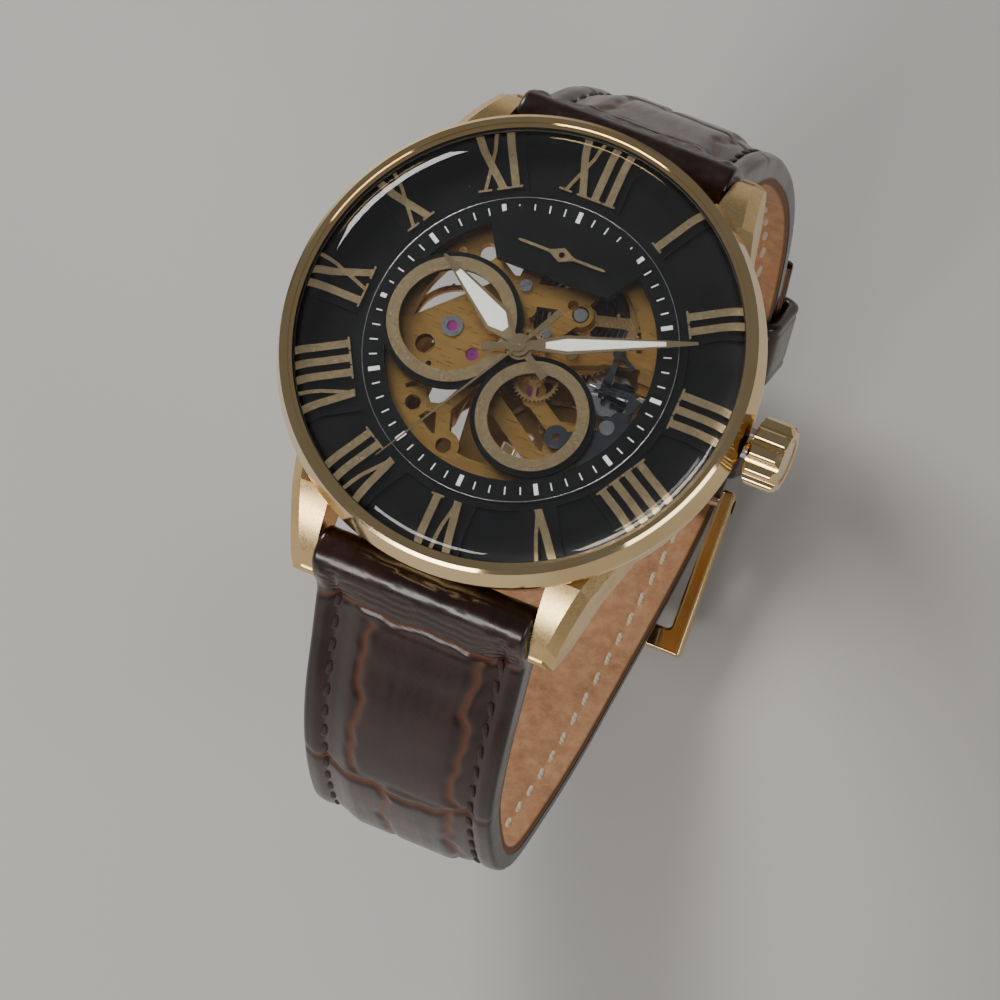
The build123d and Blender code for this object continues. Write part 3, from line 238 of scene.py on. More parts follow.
def clear_glass(name, tint, marks_scale):
    """Solid glass that lets the lamps' light through to what is beneath it."""
    material, tree, output = new_material(name)
    smudge = noise(tree, place(tree, (1, 1, 1)), marks_scale, 3.0)
    glass = add(tree, "BsdfPrincipled", {
        "Base Color": mix_color(tree, spread(tree, smudge, 0.0, 0.05), rgb(*tint), rgb(0.93, 0.96, 1.0)),
        "Roughness": spread(tree, smudge, 0.0, 0.006, 0.45, 0.8),
        "Transmission Weight": 1.0, "IOR": 1.5,
    })
    through = add(tree, "BsdfTransparent", {"Color": rgb(0.95, 0.96, 0.96)})
    shadow = add(tree, "LightPath").outputs["Is Shadow Ray"]
    blend = add(tree, "MixShader", {0: shadow, 1: glass.outputs["BSDF"], 2: through.outputs["BSDF"]})
    tree.links.new(blend.outputs[0], output.inputs["Surface"])
    return material


def ruby():
    material, tree, output = new_material("ruby")
    cloud = noise(tree, place(tree, (1, 1, 1)), 5000.0, 2.0)
    base = mix_color(tree, spread(tree, cloud, 0.1, 0.9, 0.3, 0.7), rgb(0.42, 0.02, 0.16),
                     rgb(0.30, 0.02, 0.42))
    finish_with(tree, output, Base_Color=base, Roughness=spread(tree, cloud, 0.04, 0.12),
                Transmission_Weight=0.35, IOR=1.76, Coat_Weight=0.6, Coat_Roughness=0.02)
    return material


def rubber():
    material, tree, output = new_material("black_rubber")
    fine = noise(tree, place(tree, (1, 1, 1)), 8000.0, 3.0)
    base = ramp(tree, fine, (0.3, rgb(0.006, 0.006, 0.006)), (0.8, rgb(0.02, 0.02, 0.02)))
    finish_with(tree, output, Base_Color=base, Roughness=spread(tree, fine, 0.45, 0.7),
                Normal=bump(tree, fine, 0.3, 0.00001))
    return material


# ------------------------------------------------------------------ leather and thread

def attribute(tree, name):
    return add(tree, "Attribute", attribute_name=name).outputs["Fac"]


def glossy_leather(name, dark, mid, groove_color, groove_attribute=True):
    """Embossed leather: dark glazed scales, warm dye left in the grooves, fine lengthwise creases."""
    material, tree, output = new_material(name)
    metres = place(tree, (1, 1, 1))
    cloud = noise(tree, metres, 210.0, 4.0)
    streak = noise(tree, place(tree, (1.0, 0.2, 0.2)), 1100.0, 5.0, 0.6)
    crease = noise(tree, place(tree, (1.0, 0.22, 0.22), (0.0, 0.0, 0.12)), 1900.0, 5.0, 0.62)
    base = mix_color(tree, spread(tree, cloud, 0.0, 1.0, 0.32, 0.7), rgb(*dark), rgb(*mid))
    base = mix_color(tree, spread(tree, streak, 0.0, 0.3, 0.5, 0.78), base, rgb(*(c * 1.6 for c in mid)))
    base = mix_color(tree, spread(tree, crease, 0.0, 0.5, 0.55, 0.8), base, rgb(*(c * 0.5 for c in dark)))
    rough = spread(tree, streak, 0.24, 0.38, 0.3, 0.75)
    if groove_attribute:
        groove = attribute(tree, "groove")
        base = mix_color(tree, spread(tree, groove, 0.0, 0.92, 0.18, 0.85), base, rgb(*groove_color))
        rough = add(tree, "Math", {0: rough, 1: spread(tree, groove, 0.0, 0.2)}, operation="ADD").outputs[0]
        # Darkens towards the edge colour: dark edge paint, and on the keepers painted shade on their inside
        # face.
        edge = attribute(tree, "edge")
        base = mix_color(tree, edge, base, rgb(0.011, 0.006, 0.005))
    normal = bump(tree, crease, 0.4, 0.00003)
    finish_with(tree, output, Base_Color=base, Roughness=rough, Normal=normal, Specular_IOR_Level=0.45,
                Coat_Weight=0.35, Coat_Roughness=0.15)
    return material


def suede(name, color, dark):
    """The tan lining: a short napped suede, mottled, a little darker in fine patches and at its edges."""
    material, tree, output = new_material(name)
    metres = place(tree, (1, 1, 1))
    mottle = noise(tree, metres, 700.0, 5.0, 0.65)
    nap = noise(tree, metres, 5200.0, 4.0, 0.75)
    broad = noise(tree, metres, 110.0, 3.0)
    base = mix_color(tree, spread(tree, mottle, 0.0, 1.0, 0.35, 0.7), rgb(*color), rgb(*dark))
    base = mix_color(tree, spread(tree, broad, 0.0, 0.35, 0.4, 0.75), base,
                     rgb(*(min(1, c * 1.2) for c in color)))
    base = mix_color(tree, spread(tree, nap, 0.0, 0.35, 0.5, 0.75), base, rgb(*(c * 0.6 for c in dark)))
    base = mix_color(tree, attribute(tree, "edge"), base, rgb(*(c * 0.45 for c in dark)))
    height = add(tree, "Math", {0: nap, 1: mottle}, operation="ADD").outputs[0]
    finish_with(tree, output, Base_Color=base, Roughness=spread(tree, nap, 0.78, 0.98),
                Normal=bump(tree, height, 0.6, 0.00007), Sheen_Weight=0.35, Sheen_Roughness=0.4,
                Sheen_Tint=rgb(0.9, 0.7, 0.5), Specular_IOR_Level=0.2)
    return material


def thread(name, color):
    material, tree, output = new_material(name)
    twist = add(tree, "TexWave", {"Vector": place(tree, (1, 1, 1), (0.5, 0.6, 0.3)), "Scale": 1500.0,
                                  "Distortion": 1.5, "Detail": 2.0},
                bands_direction="DIAGONAL").outputs["Fac"]
    fuzz = noise(tree, place(tree, (1, 1, 1)), 6000.0, 3.0)
    base = mix_color(tree, spread(tree, twist, 0.0, 0.6), rgb(*color), rgb(*(c * 0.45 for c in color)))
    base = mix_color(tree, spread(tree, fuzz, 0.0, 0.3, 0.45, 0.75), base,
                     rgb(*(min(1, c * 1.6) for c in color)))
    finish_with(tree, output, Base_Color=base, Roughness=spread(tree, fuzz, 0.55, 0.85),
                Normal=bump(tree, twist, 0.6, 0.00006), Sheen_Weight=0.2)
    return material


leather = glossy_leather("crocodile_leather", (0.012, 0.0036, 0.0022), (0.034, 0.0098, 0.0052),
                         (0.11, 0.033, 0.008))
keeper_leather = glossy_leather("keeper_leather", (0.02, 0.006, 0.005), (0.055, 0.015, 0.011),
                                (0.03, 0.01, 0.008))
lining_suede = suede("lining_suede", (0.56, 0.31, 0.17), (0.34, 0.165, 0.085))
brown_thread = thread("brown_thread", (0.035, 0.011, 0.008))
cream_thread = thread("cream_thread", (0.72, 0.58, 0.40))
lume = white_print("lume", (0.84, 0.86, 0.80), 0.5)
minute_print = white_print("minute_print", (0.82, 0.83, 0.84), 0.45)
crystal_glass = clear_glass("crystal_glass", (0.985, 0.99, 1.0), 90.0)
back_glass = clear_glass("back_glass", (0.95, 0.97, 1.0), 140.0)
black_dial = dial_black()
black_rubber = rubber()
ruby_jewel = ruby()


# ------------------------------------------------------------------ CAD nodes

CAD_LOOKS = {
    "case_middle": brushed_gold, "bezel": polished_gold, "crystal": crystal_glass,
    "crystal_gasket": black_rubber, "crown_tube": steel, "case_back": polished_gold,
    "back_gasket": black_rubber, "back_crystal": back_glass, "dial": black_dial,
    "window_rings": dial_gold, "hour_numerals": dial_gold, "dial_emblem": dial_gold,
    "main_plate": gilt_plate, "movement_ring": gilt_ring, "barrel_bridge": gilt_bridge,
    "train_bridge": gilt_bridge, "balance_cock": gilt_bridge, "pallet_bridge": gilt_bridge,
    "jewels": ruby_jewel, "shock_settings": steel, "movement_screws": steel,
    "setting_lever_spring": dark_steel, "rotor_bearing": steel, "rotor": gilt_ring,
    "mainspring": spring_steel, "escape_wheel": steel, "pallet_fork": steel, "hairspring": steel,
    "cannon_pinion": steel, "hour_hand": hand_gold, "minute_hand": hand_gold, "seconds_hand": hand_gold,
    "crown": polished_gold, "winding_stem": steel, "winding_pinion": dark_steel,
    "sliding_pinion": dark_steel, "setting_lever": dark_steel, "yoke": dark_steel,
    "crown_wheel": steel, "ratchet_wheel": steel, "buckle_frame": buckle_gold,
    "buckle_tongue": buckle_gold, "spring_bars": steel, "plunger_12_right": steel,
    "plunger_12_left": steel, "plunger_6_right": steel, "plunger_6_left": steel,
}
for wheel in ("barrel", "centre_wheel", "third_wheel", "fourth_wheel", "balance_wheel", "minute_wheel",
              "hour_wheel"):
    CAD_LOOKS[wheel] = wheel_material(wheel)


def dress(obj, material):
    obj.data.materials.clear()
    obj.data.materials.append(material)
    return obj


for name, material in CAD_LOOKS.items():
    dress(nodes[name], material)


def ease_edges(name, width, angle, segments=2):
    """A small polished bevel on a CAD part's sharp edges."""
    modifier = nodes[name].modifiers.new("eased_edges", "BEVEL")
    modifier.width = width * MM
    modifier.segments = segments
    modifier.limit_method = "ANGLE"
    modifier.angle_limit = math.radians(angle)
    modifier.harden_normals = False


for name, width in (("hour_numerals", 0.05), ("dial_emblem", 0.04), ("window_rings", 0.06),
                    ("hour_hand", 0.04),
                    ("minute_hand", 0.04), ("buckle_frame", 0.12), ("buckle_tongue", 0.2)):
    ease_edges(name, width, 40)


# ------------------------------------------------------------------ mesh helpers

def mesh_object(name, vertices, faces, material, body, smooth=True):
    mesh = bpy.data.meshes.new(name)
    mesh.from_pydata([tuple(v) for v in vertices], [], faces)
    mesh.update()
    for polygon in mesh.polygons:
        polygon.use_smooth = smooth
    obj = bpy.data.objects.new(name, mesh)
    bpy.context.scene.collection.objects.link(obj)
    dress(obj, material)
    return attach(obj, body)


def grid_faces(rows, columns, offset=0, flip=False, close_columns=False):
    faces = []
    span = columns if close_columns else columns - 1
    for i in range(rows - 1):
        for j in range(span):
            a = offset + i * columns + j
            b = offset + i * columns + (j + 1) % columns
            face = (a, b, b + columns, a + columns)
            faces.append(face[::-1] if flip else face)
    return faces


def smooth_curve(points, step):
    """A centripetal Catmull-Rom curve through the points, resampled at an even step."""
    pts = np.array(points, float)
    pts = np.vstack([2 * pts[0] - pts[1], pts, 2 * pts[-1] - pts[-2]])
    fine = []
    for p0, p1, p2, p3 in zip(pts, pts[1:], pts[2:], pts[3:]):
        t0 = 0.0
        t1 = t0 + np.linalg.norm(p1 - p0) ** 0.5
        t2 = t1 + np.linalg.norm(p2 - p1) ** 0.5
        t3 = t2 + np.linalg.norm(p3 - p2) ** 0.5
        t = np.linspace(t1, t2, 60, endpoint=False)[:, None]
        a1 = (t1 - t) / (t1 - t0) * p0 + (t - t0) / (t1 - t0) * p1
        a2 = (t2 - t) / (t2 - t1) * p1 + (t - t1) / (t2 - t1) * p2
        a3 = (t3 - t) / (t3 - t2) * p2 + (t - t2) / (t3 - t2) * p3
        b1 = (t2 - t) / (t2 - t0) * a1 + (t - t0) / (t2 - t0) * a2
        b2 = (t3 - t) / (t3 - t1) * a2 + (t - t1) / (t3 - t1) * a3
        fine.append((t2 - t) / (t2 - t1) * b1 + (t - t1) / (t2 - t1) * b2)
    fine = np.vstack(fine + [pts[-2][None, :]])
    lengths = np.concatenate([[0], np.cumsum(np.linalg.norm(np.diff(fine, axis=0), axis=1))])
    count = int(lengths[-1] / step) + 1
    at = np.linspace(0, lengths[-1], count)
    return np.stack([np.interp(at, lengths, fine[:, k]) for k in range(fine.shape[1])], axis=1), at


def ease(x, low, high):
    t = np.clip((x - low) / (high - low), 0, 1)
    return t * t * (3 - 2 * t)


def wander(x, seed, size, pitch):
    """A slow smooth wobble."""
    local = np.random.default_rng(seed)
    total = np.zeros_like(x, float)
    for octave in range(3):
        phase = local.uniform(0, 2 * math.pi)
        total += np.sin(x * 2 * math.pi / (pitch / 1.9 ** octave) + phase) / 1.9 ** octave
    return total * size / 2


# ------------------------------------------------------------------ the strap

HALF_AT_LUG, HALF_AT_END = 10.95, 10.0
LINING = 0.8
STITCH_INSET = 2.3
BAR_HOLE = 0.84


class StrapHalf:
    """One half of the strap: a middle line in the YZ plane, with frames, width and thickness."""

    def __init__(self, points, thickness, outward, seed, rows):
        self.line, self.s = smooth_curve(points, 0.28)
        self.length = self.s[-1]
        along = np.gradient(self.line, axis=0)
        self.along = along / np.linalg.norm(along, axis=1)[:, None]
        self.out = np.stack([self.along[:, 1], -self.along[:, 0]], axis=1) * outward
        share = self.s / self.length
        lug, body, end = thickness
        self.thick = np.where(share < 0.25, lug + (body - lug) * share / 0.25,
                              body + (end - body) * (share - 0.25) / 0.75)
        drop = -(self.line[:, 1])
        self.half = HALF_AT_LUG + (HALF_AT_END - HALF_AT_LUG) * np.clip((drop - 7) / 23, 0, 1)
        self.seed = seed
        self.rows = rows

    def frame_at(self, distance):
        values = [np.interp(distance, self.s, column) for column in (*self.line.T, *self.out.T)]
        return np.array(values[:2]), np.array(values[2:])

    def point(self, x, distance, height):
        """x across, distance along the strap, height out from its middle line, in metres."""
        middle, out = self.frame_at(distance)
        spot = middle + out * height
        return Vector((x, spot[0], spot[1] + DIAL_HEIGHT)) * MM


def croc_pattern(half, s, u, width):
    """Depth of the embossed grooves, 0 to 1, and the swell of the scales between them."""
    groove = np.zeros_like(s + u)
    swell = np.zeros_like(groove)
    rows = half.rows
    for k in range(len(rows) - 1):
        start, end = rows[k], rows[k + 1]
        bow = 1.5 * (1 if k % 2 else -1)
        local = np.random.default_rng(half.seed * 31 + k)
        line = start + bow * (1 - (u / width) ** 2) + wander(u, half.seed * 7 + k, 0.7, 9.0)
        gap = np.abs(s - line)
        groove = np.maximum(groove, np.exp(-(gap / 0.5) ** 2))
        inside = ease(s, start, start + 0.6) * (1 - ease(s, end - 0.6, end))
        left = (-0.42 + local.uniform(-0.06, 0.06)) * width
        right = (0.6 + local.uniform(-0.04, 0.04)) * width
        if k % 3 == 1:
            left += 0.28 * width
        for n, at in enumerate((left, right)):
            path = at + wander(s, half.seed * 13 + 5 * k + n, 0.6, 11.0)
            near = np.exp(-(np.abs(u - path) / 0.44) ** 2) * inside
            groove = np.maximum(groove, near * 0.9)
        swell = np.maximum(
            swell, inside * np.clip(1 - (2 * (s - (start + end) / 2) / (end - start)) ** 2, 0, 1) ** 0.5)
    return groove, swell


def upper_surface(half, s, u, width, thick):
    """Height of the outer face over the middle line, the groove depth, and how much is painted edge."""
    away = width - np.abs(u)
    rise = ease(s, 0.5, 5.5)
    padding = (thick * 0.5 - 0.62) * rise
    low = thick / 2 - padding * 0.55
    pad = ease(away, STITCH_INSET + 0.35, STITCH_INSET + 3.2)
    height = low + padding * 0.55 * pad
    groove, swell = croc_pattern(half, s, u, width)
    height = height + 0.16 * swell * pad * rise
    channel = np.exp(-((away - STITCH_INSET) / 0.42) ** 2)
    height = height - 0.24 * channel
    height = height + 0.13 * np.exp(-((away - 1.2) / 0.6) ** 2)
    height = height - 0.30 * groove * (0.35 + 0.65 * ease(away, 1.4, 2.6))
    ripple = np.sin(s * 2 * math.pi / 1.15 + wander(u, half.seed + 90, 2.2, 7.0))
    height = height + 0.09 * ripple * (1 - ease(s, 1.0, 6.5)) * ease(away, 0.4, 1.6)
    corner = 0.55
    inside = np.clip(corner - away, 0, corner)
    height = height - (corner - np.sqrt(np.maximum(corner ** 2 - inside ** 2, 0)))
    edge = 1 - ease(away, 0.12, 0.42)
    return height, groove * (0.5 + 0.5 * ease(away, 0.8, 2.2)), edge


def columns_across(width, count):
    """Offsets across the strap, closer together at its edges."""
    t = np.linspace(-1, 1, count)
    return width * np.sign(t) * (1 - (1 - np.abs(t)) ** 1.35)


def build_upper(name, half, last, cut):
    """The padded outer leather, wrapped round the spring bar at its lug end."""
    count_u = 119
    bar, out0, along0 = half.line[0], half.out[0], half.along[0]
    wrap = np.linspace(math.pi, 0, 26)[:-1]
    keep = half.s <= last * half.length
    s_values, thick, widths = half.s[keep], half.thick[keep], half.half[keep]
    outer, inner, groove_values, edge_values = [], [], [], []
    wrap_radius = half.thick[0] / 2
    ripples = wander(wrap, half.seed + 3, 0.05, 0.9)
    for turn, ripple in zip(wrap, ripples):
        direction = math.cos(turn) * out0 - math.sin(turn) * along0
        u = columns_across(widths[0], count_u)
        away = widths[0] - np.abs(u)
        corner = 0.5
        bite = np.clip(corner - away, 0, corner)
        radius = wrap_radius - (corner - np.sqrt(np.maximum(corner ** 2 - bite ** 2, 0)))
        fold = (0.07 * np.sin(turn * 9 + wander(u, half.seed + 41, 2.5, 6.0))
                * math.sin(turn) * ease(away, 0.5, 2))
        radius = radius + np.minimum(fold + ripple * math.sin(turn), 0.0)
        outer.append(np.stack([u, bar[0] + direction[0] * radius, bar[1] + direction[1] * radius], axis=1))
        inner.append(np.stack([u, np.full_like(u, bar[0] + direction[0] * BAR_HOLE),
                               np.full_like(u, bar[1] + direction[1] * BAR_HOLE)], axis=1))
        groove_values.append(np.zeros_like(u))
        edge_values.append(1 - ease(away, 0.12, 0.42))
    for i, s in enumerate(s_values):
        u = columns_across(widths[i], count_u)
        height, groove, edge = upper_surface(half, np.full_like(u, s), u, widths[i], thick[i])
        end_fall = ease(s, s_values[-1] - 0.7, s_values[-1])
        floor = -thick[i] / 2 + LINING
        height = height - end_fall * 0.5
        bottom = floor if s > 3.2 else BAR_HOLE + (floor - BAR_HOLE) * ease(np.array(s), 1.2, 3.2)
        middle, out = half.line[i], half.out[i]
        outer.append(np.stack([u, middle[0] + out[0] * height, middle[1] + out[1] * height], axis=1))
        inner.append(np.stack([u, np.full_like(u, middle[0] + out[0] * bottom),
                               np.full_like(u, middle[1] + out[1] * bottom)], axis=1))
        groove_values.append(groove)
        edge_values.append(edge)
    return closed_sheet(name, outer, inner, groove_values, edge_values, leather, cut)


def closed_sheet(name, outer, inner, groove_values, edge_values, material, cut):
    """Joins an outer and an inner grid of points into one closed skin with painted side walls."""
    rows, columns = len(outer), len(outer[0])
    steps = 4
    loops = []
    for top, bottom in zip(outer, inner):
        right = [top[-1] + (bottom[-1] - top[-1]) * n / steps for n in range(1, steps)]
        left = [bottom[0] + (top[0] - bottom[0]) * n / steps for n in range(1, steps)]
        loops.append(np.vstack([top, *[r[None, :] for r in right],
                                bottom[::-1], *[r[None, :] for r in left]]))
    loop = len(loops[0])
    vertices = np.vstack(loops)
    vertices[:, 2] += DIAL_HEIGHT
    vertices *= MM
    faces = grid_faces(rows, loop, close_columns=True)
    faces.append(tuple(range(loop))[::-1])
    faces.append(tuple((rows - 1) * loop + k for k in range(loop)))
    groove = np.zeros((rows, loop))
    edge = np.ones((rows, loop))
    groove[:, :columns] = np.array(groove_values)
    edge[:, :columns] = np.array(edge_values)
    edge[:, columns + steps - 1:2 * columns + steps - 1] = 0.0
    obj = mesh_object(name, vertices, faces, material, "case")
    for key, values in (("groove", groove), ("edge", edge)):
        layer = obj.data.attributes.new(key, "FLOAT", "POINT")
        layer.data.foreach_set("value", values.ravel().astype(np.float32))
    turn_outwards(obj)
    if cut is not None:
        pierce(obj, cut)
    return obj


def turn_outwards(obj):
    import bmesh
    work = bmesh.new()
    work.from_mesh(obj.data)
    bmesh.ops.recalc_face_normals(work, faces=work.faces)
    work.to_mesh(obj.data)
    work.free()


def build_lining(name, half, first, last, cut):
    """The suede lining, stitched along both sides."""
    count_u = 81
    keep = (half.s >= first * half.length) & (half.s <= last * half.length)
    s_values, thick, widths = half.s[keep], half.thick[keep], half.half[keep]
    outer, inner, groove_values, edge_values = [], [], [], []
    for i, (s, index) in enumerate(zip(s_values, np.flatnonzero(keep))):
        width = widths[i] - 0.06
        u = columns_across(width, count_u)
        away = width - np.abs(u)
        depth = -thick[i] / 2 + 0.14 * np.exp(-((away - STITCH_INSET) / 0.4) ** 2)
        depth = depth + wander(u + s, half.seed + 51, 0.04, 5.0) * ease(away, 0.4, 2)
        bite = np.clip(0.32 - away, 0, 0.32)
        depth = depth + (0.32 - np.sqrt(np.maximum(0.32 ** 2 - bite ** 2, 0)))
        top = -thick[i] / 2 + LINING - 0.03
        middle, out = half.line[index], half.out[index]
        inner.append(np.stack([u, np.full_like(u, middle[0] + out[0] * top),
                               np.full_like(u, middle[1] + out[1] * top)], axis=1))
        outer.append(np.stack([u, middle[0] + out[0] * depth, middle[1] + out[1] * depth], axis=1))
        groove_values.append(np.zeros_like(u))
        edge_values.append(1 - ease(away, 0.08, 0.26))
    return closed_sheet(name, outer, inner, groove_values, edge_values, lining_suede, cut)


def build_stitches(name, half, first, last, face, material):
    """A row of thread stitches down each side of the strap. face is +1 on the leather, -1 on the lining."""
    pitch, length, radius = 2.9, 2.15, 0.25
    around, rings = 8, 9
    vertices, faces = [], []
    count = int((last - first) * half.length / pitch)
    for side in (-1, 1):
        for n in range(count):
            s_mid = first * half.length + (n + 0.5) * pitch
            width = float(np.interp(s_mid, half.s, half.half))
            thick = float(np.interp(s_mid, half.s, half.thick))
            u = side * (width - STITCH_INSET)
            if face > 0:
                top = upper_surface(half, np.array([s_mid]), np.array([u]), width, thick)[0][0]
                height = top + 0.10
            else:
                height = -thick / 2 + 0.12
            slant = 0.16 * side * face
            base = len(vertices)
            for k in range(rings):
                t = -1 + 2 * k / (rings - 1)
                swell = max(0.0, 1 - t ** 4) ** 0.5
                r = radius * (0.25 + 0.75 * swell)
                sink = face * 0.30 * (1 - max(0.0, 1 - t * t) ** 0.5)
                s = s_mid + t * length / 2
                for m in range(around):
                    angle = 2 * math.pi * m / around
                    x = u + slant * t + r * math.cos(angle) * 1.15
                    h = height - sink + r * 0.8 * math.sin(angle)
                    vertices.append(half.point(x, s, h))
            for k in range(rings - 1):
                for m in range(around):
                    a, b = base + k * around + m, base + k * around + (m + 1) % around
                    faces.append((a, b, b + around, a + around))
            faces.append(tuple(base + m for m in range(around))[::-1])
            faces.append(tuple(base + (rings - 1) * around + m for m in range(around)))
    obj = mesh_object(name, vertices, faces, material, "case")
    turn_outwards(obj)
    return obj


def prism(outline, low, high):
    """A closed prism over an (x, y) outline, used to pierce the strap."""
    count = len(outline)
    vertices = [Vector((x, y, z + DIAL_HEIGHT)) * MM for z in (low, high) for x, y in outline]
    faces = [tuple(range(count))[::-1], tuple(range(count, 2 * count))]
    faces += [(k, (k + 1) % count, (k + 1) % count + count, k + count) for k in range(count)]
    return vertices, faces


def hole_outline(centre_y, long, wide, steps=28):
    """A round-ended hole, long along the strap."""
    straight = max(0.0, (long - wide) / 2)
    points = []
    for k in range(steps):
        angle = 2 * math.pi * k / steps
        shift = straight if math.sin(angle) >= 0 else -straight
        points.append((wide / 2 * math.cos(angle), centre_y + shift + wide / 2 * math.sin(angle)))
    return points


def cutter_mesh(holes):
    vertices, faces = [], []
    for centre_y, long, wide, low, high in holes:
        points, sides = prism(hole_outline(centre_y, long, wide), low, high)
        faces += [tuple(i + len(vertices) for i in face) for face in sides]
        vertices += points
    mesh = bpy.data.meshes.new("cutter")
    mesh.from_pydata([tuple(v) for v in vertices], [], faces)
    cutter = bpy.data.objects.new("cutter", mesh)
    bpy.context.scene.collection.objects.link(cutter)
    turn_outwards(cutter)
    return cutter


def pierce(obj, holes):
    cutter = cutter_mesh(holes)
    modifier = obj.modifiers.new("holes", "BOOLEAN")
    modifier.object = cutter
    modifier.operation = "DIFFERENCE"
    modifier.solver = "FAST"
    bpy.context.view_layer.update()
    graph = bpy.context.evaluated_depsgraph_get()
    made = bpy.data.meshes.new_from_object(obj.evaluated_get(graph))
    obj.modifiers.clear()
    obj.data = made
    for polygon in obj.data.polygons:
        polygon.use_smooth = True
    bpy.data.objects.remove(cutter)


SHORT_POINTS = (
    (23.3, -5.4), (25.6, -10.2), (29.6, -17.0), (32.8, -25.0), (34.5, -33.0), (34.8, -40.0),
    (33.6, -46.5), (30.6, -52.5), (26.4, -57.6), (21.0, -62.0), (15.0, -65.4), (9.2, -67.2),
)
LONG_POINTS = (
    (-23.3, -5.4), (-25.0, -9.8), (-28.3, -14.6), (-33.2, -21.4), (-36.6, -28.6), (-38.3, -36.5),
    (-38.6, -42.5), (-37.0, -47.6), (-32.0, -52.3), (-24.0, -57.8), (-14.5, -62.3), (-4.5, -66.6),
    (4.5, -69.5), (10.6, -70.1), (16.9, -68.4), (22.7, -64.8), (28.1, -60.4), (32.9, -54.9),
)
short_half = StrapHalf(SHORT_POINTS, (4.6, 3.6, 2.8), -1, 11, (4.6, 15.5, 30.0, 44.0, 58.0, 72.0, 86.0))
long_half = StrapHalf(LONG_POINTS, (4.6, 3.4, 2.2), 1, 23,
                      (5.6, 27.0, 45.0, 60.0, 72.0, 85.0, 98.0, 110.0, 121.0, 134.0))
TONGUE_HOLES = ((4.25, 7.1, 2.6, -78.0, -62.0), (-4.2, 2.2, 2.2, -72.0, -56.0),
                (-11.0, 2.2, 2.2, -72.0, -56.0))
BUCKLE_GAP = ((9.6, 6.0, 3.0, -70.2, -64.2),)

strap_short = build_upper("strap_short_leather", short_half, 0.985, BUCKLE_GAP)
strap_long = build_upper("strap_long_leather", long_half, 1.0, TONGUE_HOLES)
lining_short = build_lining("strap_short_suede", short_half, 0.05, 0.98, None)
lining_long = build_lining("strap_long_suede", long_half, 0.05, 0.996, TONGUE_HOLES)
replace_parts(strap_short, "strap_short")
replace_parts(strap_long, "strap_long")
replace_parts(lining_short, "strap_short_lining")
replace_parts(lining_long, "strap_long_lining")
build_stitches("short_outer_stitches", short_half, 0.055, 0.93, 1, brown_thread)
build_stitches("long_outer_stitches", long_half, 0.035, 0.985, 1, brown_thread)
build_stitches("short_lining_stitches", short_half, 0.06, 0.95, -1, cream_thread)
build_stitches("long_lining_stitches", long_half, 0.06, 0.985, -1, cream_thread)


# ------------------------------------------------------------------ keepers

def rounded_rectangle(half_x, half_y, radius, steps=9):
    points = []
    for cx, cy, start in ((half_x - radius, half_y - radius, 0), (radius - half_x, half_y - radius, 90),
                          (radius - half_x, radius - half_y, 180), (half_x - radius, radius - half_y, 270)):
        for k in range(steps):
            angle = math.radians(start + 90 * k / (steps - 1))
            points.append((cx + radius * math.cos(angle), cy + radius * math.sin(angle),
                           math.cos(angle), math.sin(angle)))
    return points


def build_keeper(name, node, centre, turn, length, body):
    """A folded leather band: a domed outside with a creased line near each edge, painted edges, and painted
    shade on its inside face.
    """
    wall, half_x, half_y = 1.2, 10.35, 3.25
    path = rounded_rectangle(half_x + wall / 2, half_y + wall / 2, 1.3)
    filled = []
    for (x0, y0, a0, b0), (x1, y1, a1, b1) in zip(path, path[1:] + path[:1]):
        gap = math.hypot(x1 - x0, y1 - y0)
        parts = max(1, int(gap / 0.6))
        for k in range(parts):
            t = k / parts
            filled.append((x0 + (x1 - x0) * t, y0 + (y1 - y0) * t, a0 + (a1 - a0) * t, b0 + (b1 - b0) * t))
    profile, across = [], 33
    half_length = length / 2
    for k in range(across):
        v = -half_length + length * k / (across - 1)
        fall = np.clip(0.45 - (half_length - abs(v)), 0, 0.45)
        top = wall / 2 - 0.04 - (0.45 - math.sqrt(max(0.45 ** 2 - fall ** 2, 0)))
        top -= 0.12 * math.exp(-((half_length - abs(v) - 1.1) / 0.16) ** 2)
        profile.append((v, top, 0.0 if half_length - abs(v) > 0.35 else 1.0))
    for k in range(across):
        # The inside face, against the strap, takes 0.3 of the dark edge colour: painted shade inside the
        # loop.
        v = half_length - length * k / (across - 1)
        fall = np.clip(0.3 - (half_length - abs(v)), 0, 0.3)
        profile.append((v, -wall / 2 + 0.03 + (0.3 - math.sqrt(max(0.3 ** 2 - fall ** 2, 0))), 0.3))
    angle = math.radians(turn)
    along = np.array((math.cos(angle), math.sin(angle)))
    out = np.array((math.sin(angle), -math.cos(angle)))
    vertices, edges = [], []
    for n, (x, y, nx, ny) in enumerate(filled):
        pucker = 0.03 * math.sin(n * 0.9)
        for v, h, e in profile:
            lift = h + (pucker if h > 0 else 0) * 0.5
            px, py = x + nx * lift, y + ny * lift
            spot = np.array(centre) + along * v + out * py
            vertices.append(Vector((px, spot[0], spot[1] + DIAL_HEIGHT)) * MM)
            edges.append(e)
    rows, columns = len(filled), len(profile)
    faces = []
    for i in range(rows):
        for j in range(columns):
            a = i * columns + j
            b = i * columns + (j + 1) % columns
            c = ((i + 1) % rows) * columns + (j + 1) % columns
            d = ((i + 1) % rows) * columns + j
            faces.append((a, b, c, d))
    obj = mesh_object(name, vertices, faces, keeper_leather, body)
    # The edge attribute carries the painted edges and the painted shade of the inside face.
    for key, values in (("groove", [0.0] * len(edges)), ("edge", edges)):
        layer = obj.data.attributes.new(key, "FLOAT", "POINT")
        layer.data.foreach_set("value", values)
    turn_outwards(obj)
    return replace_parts(obj, node)


build_keeper("free_keeper_band", "free_keeper", (25.51, -60.08), 41.5, 7.5, "free_keeper_body")
build_keeper("fixed_keeper_band", "fixed_keeper", (14.96, -67.15), 22.5, 5.0, "case")


# ------------------------------------------------------------------ dial details

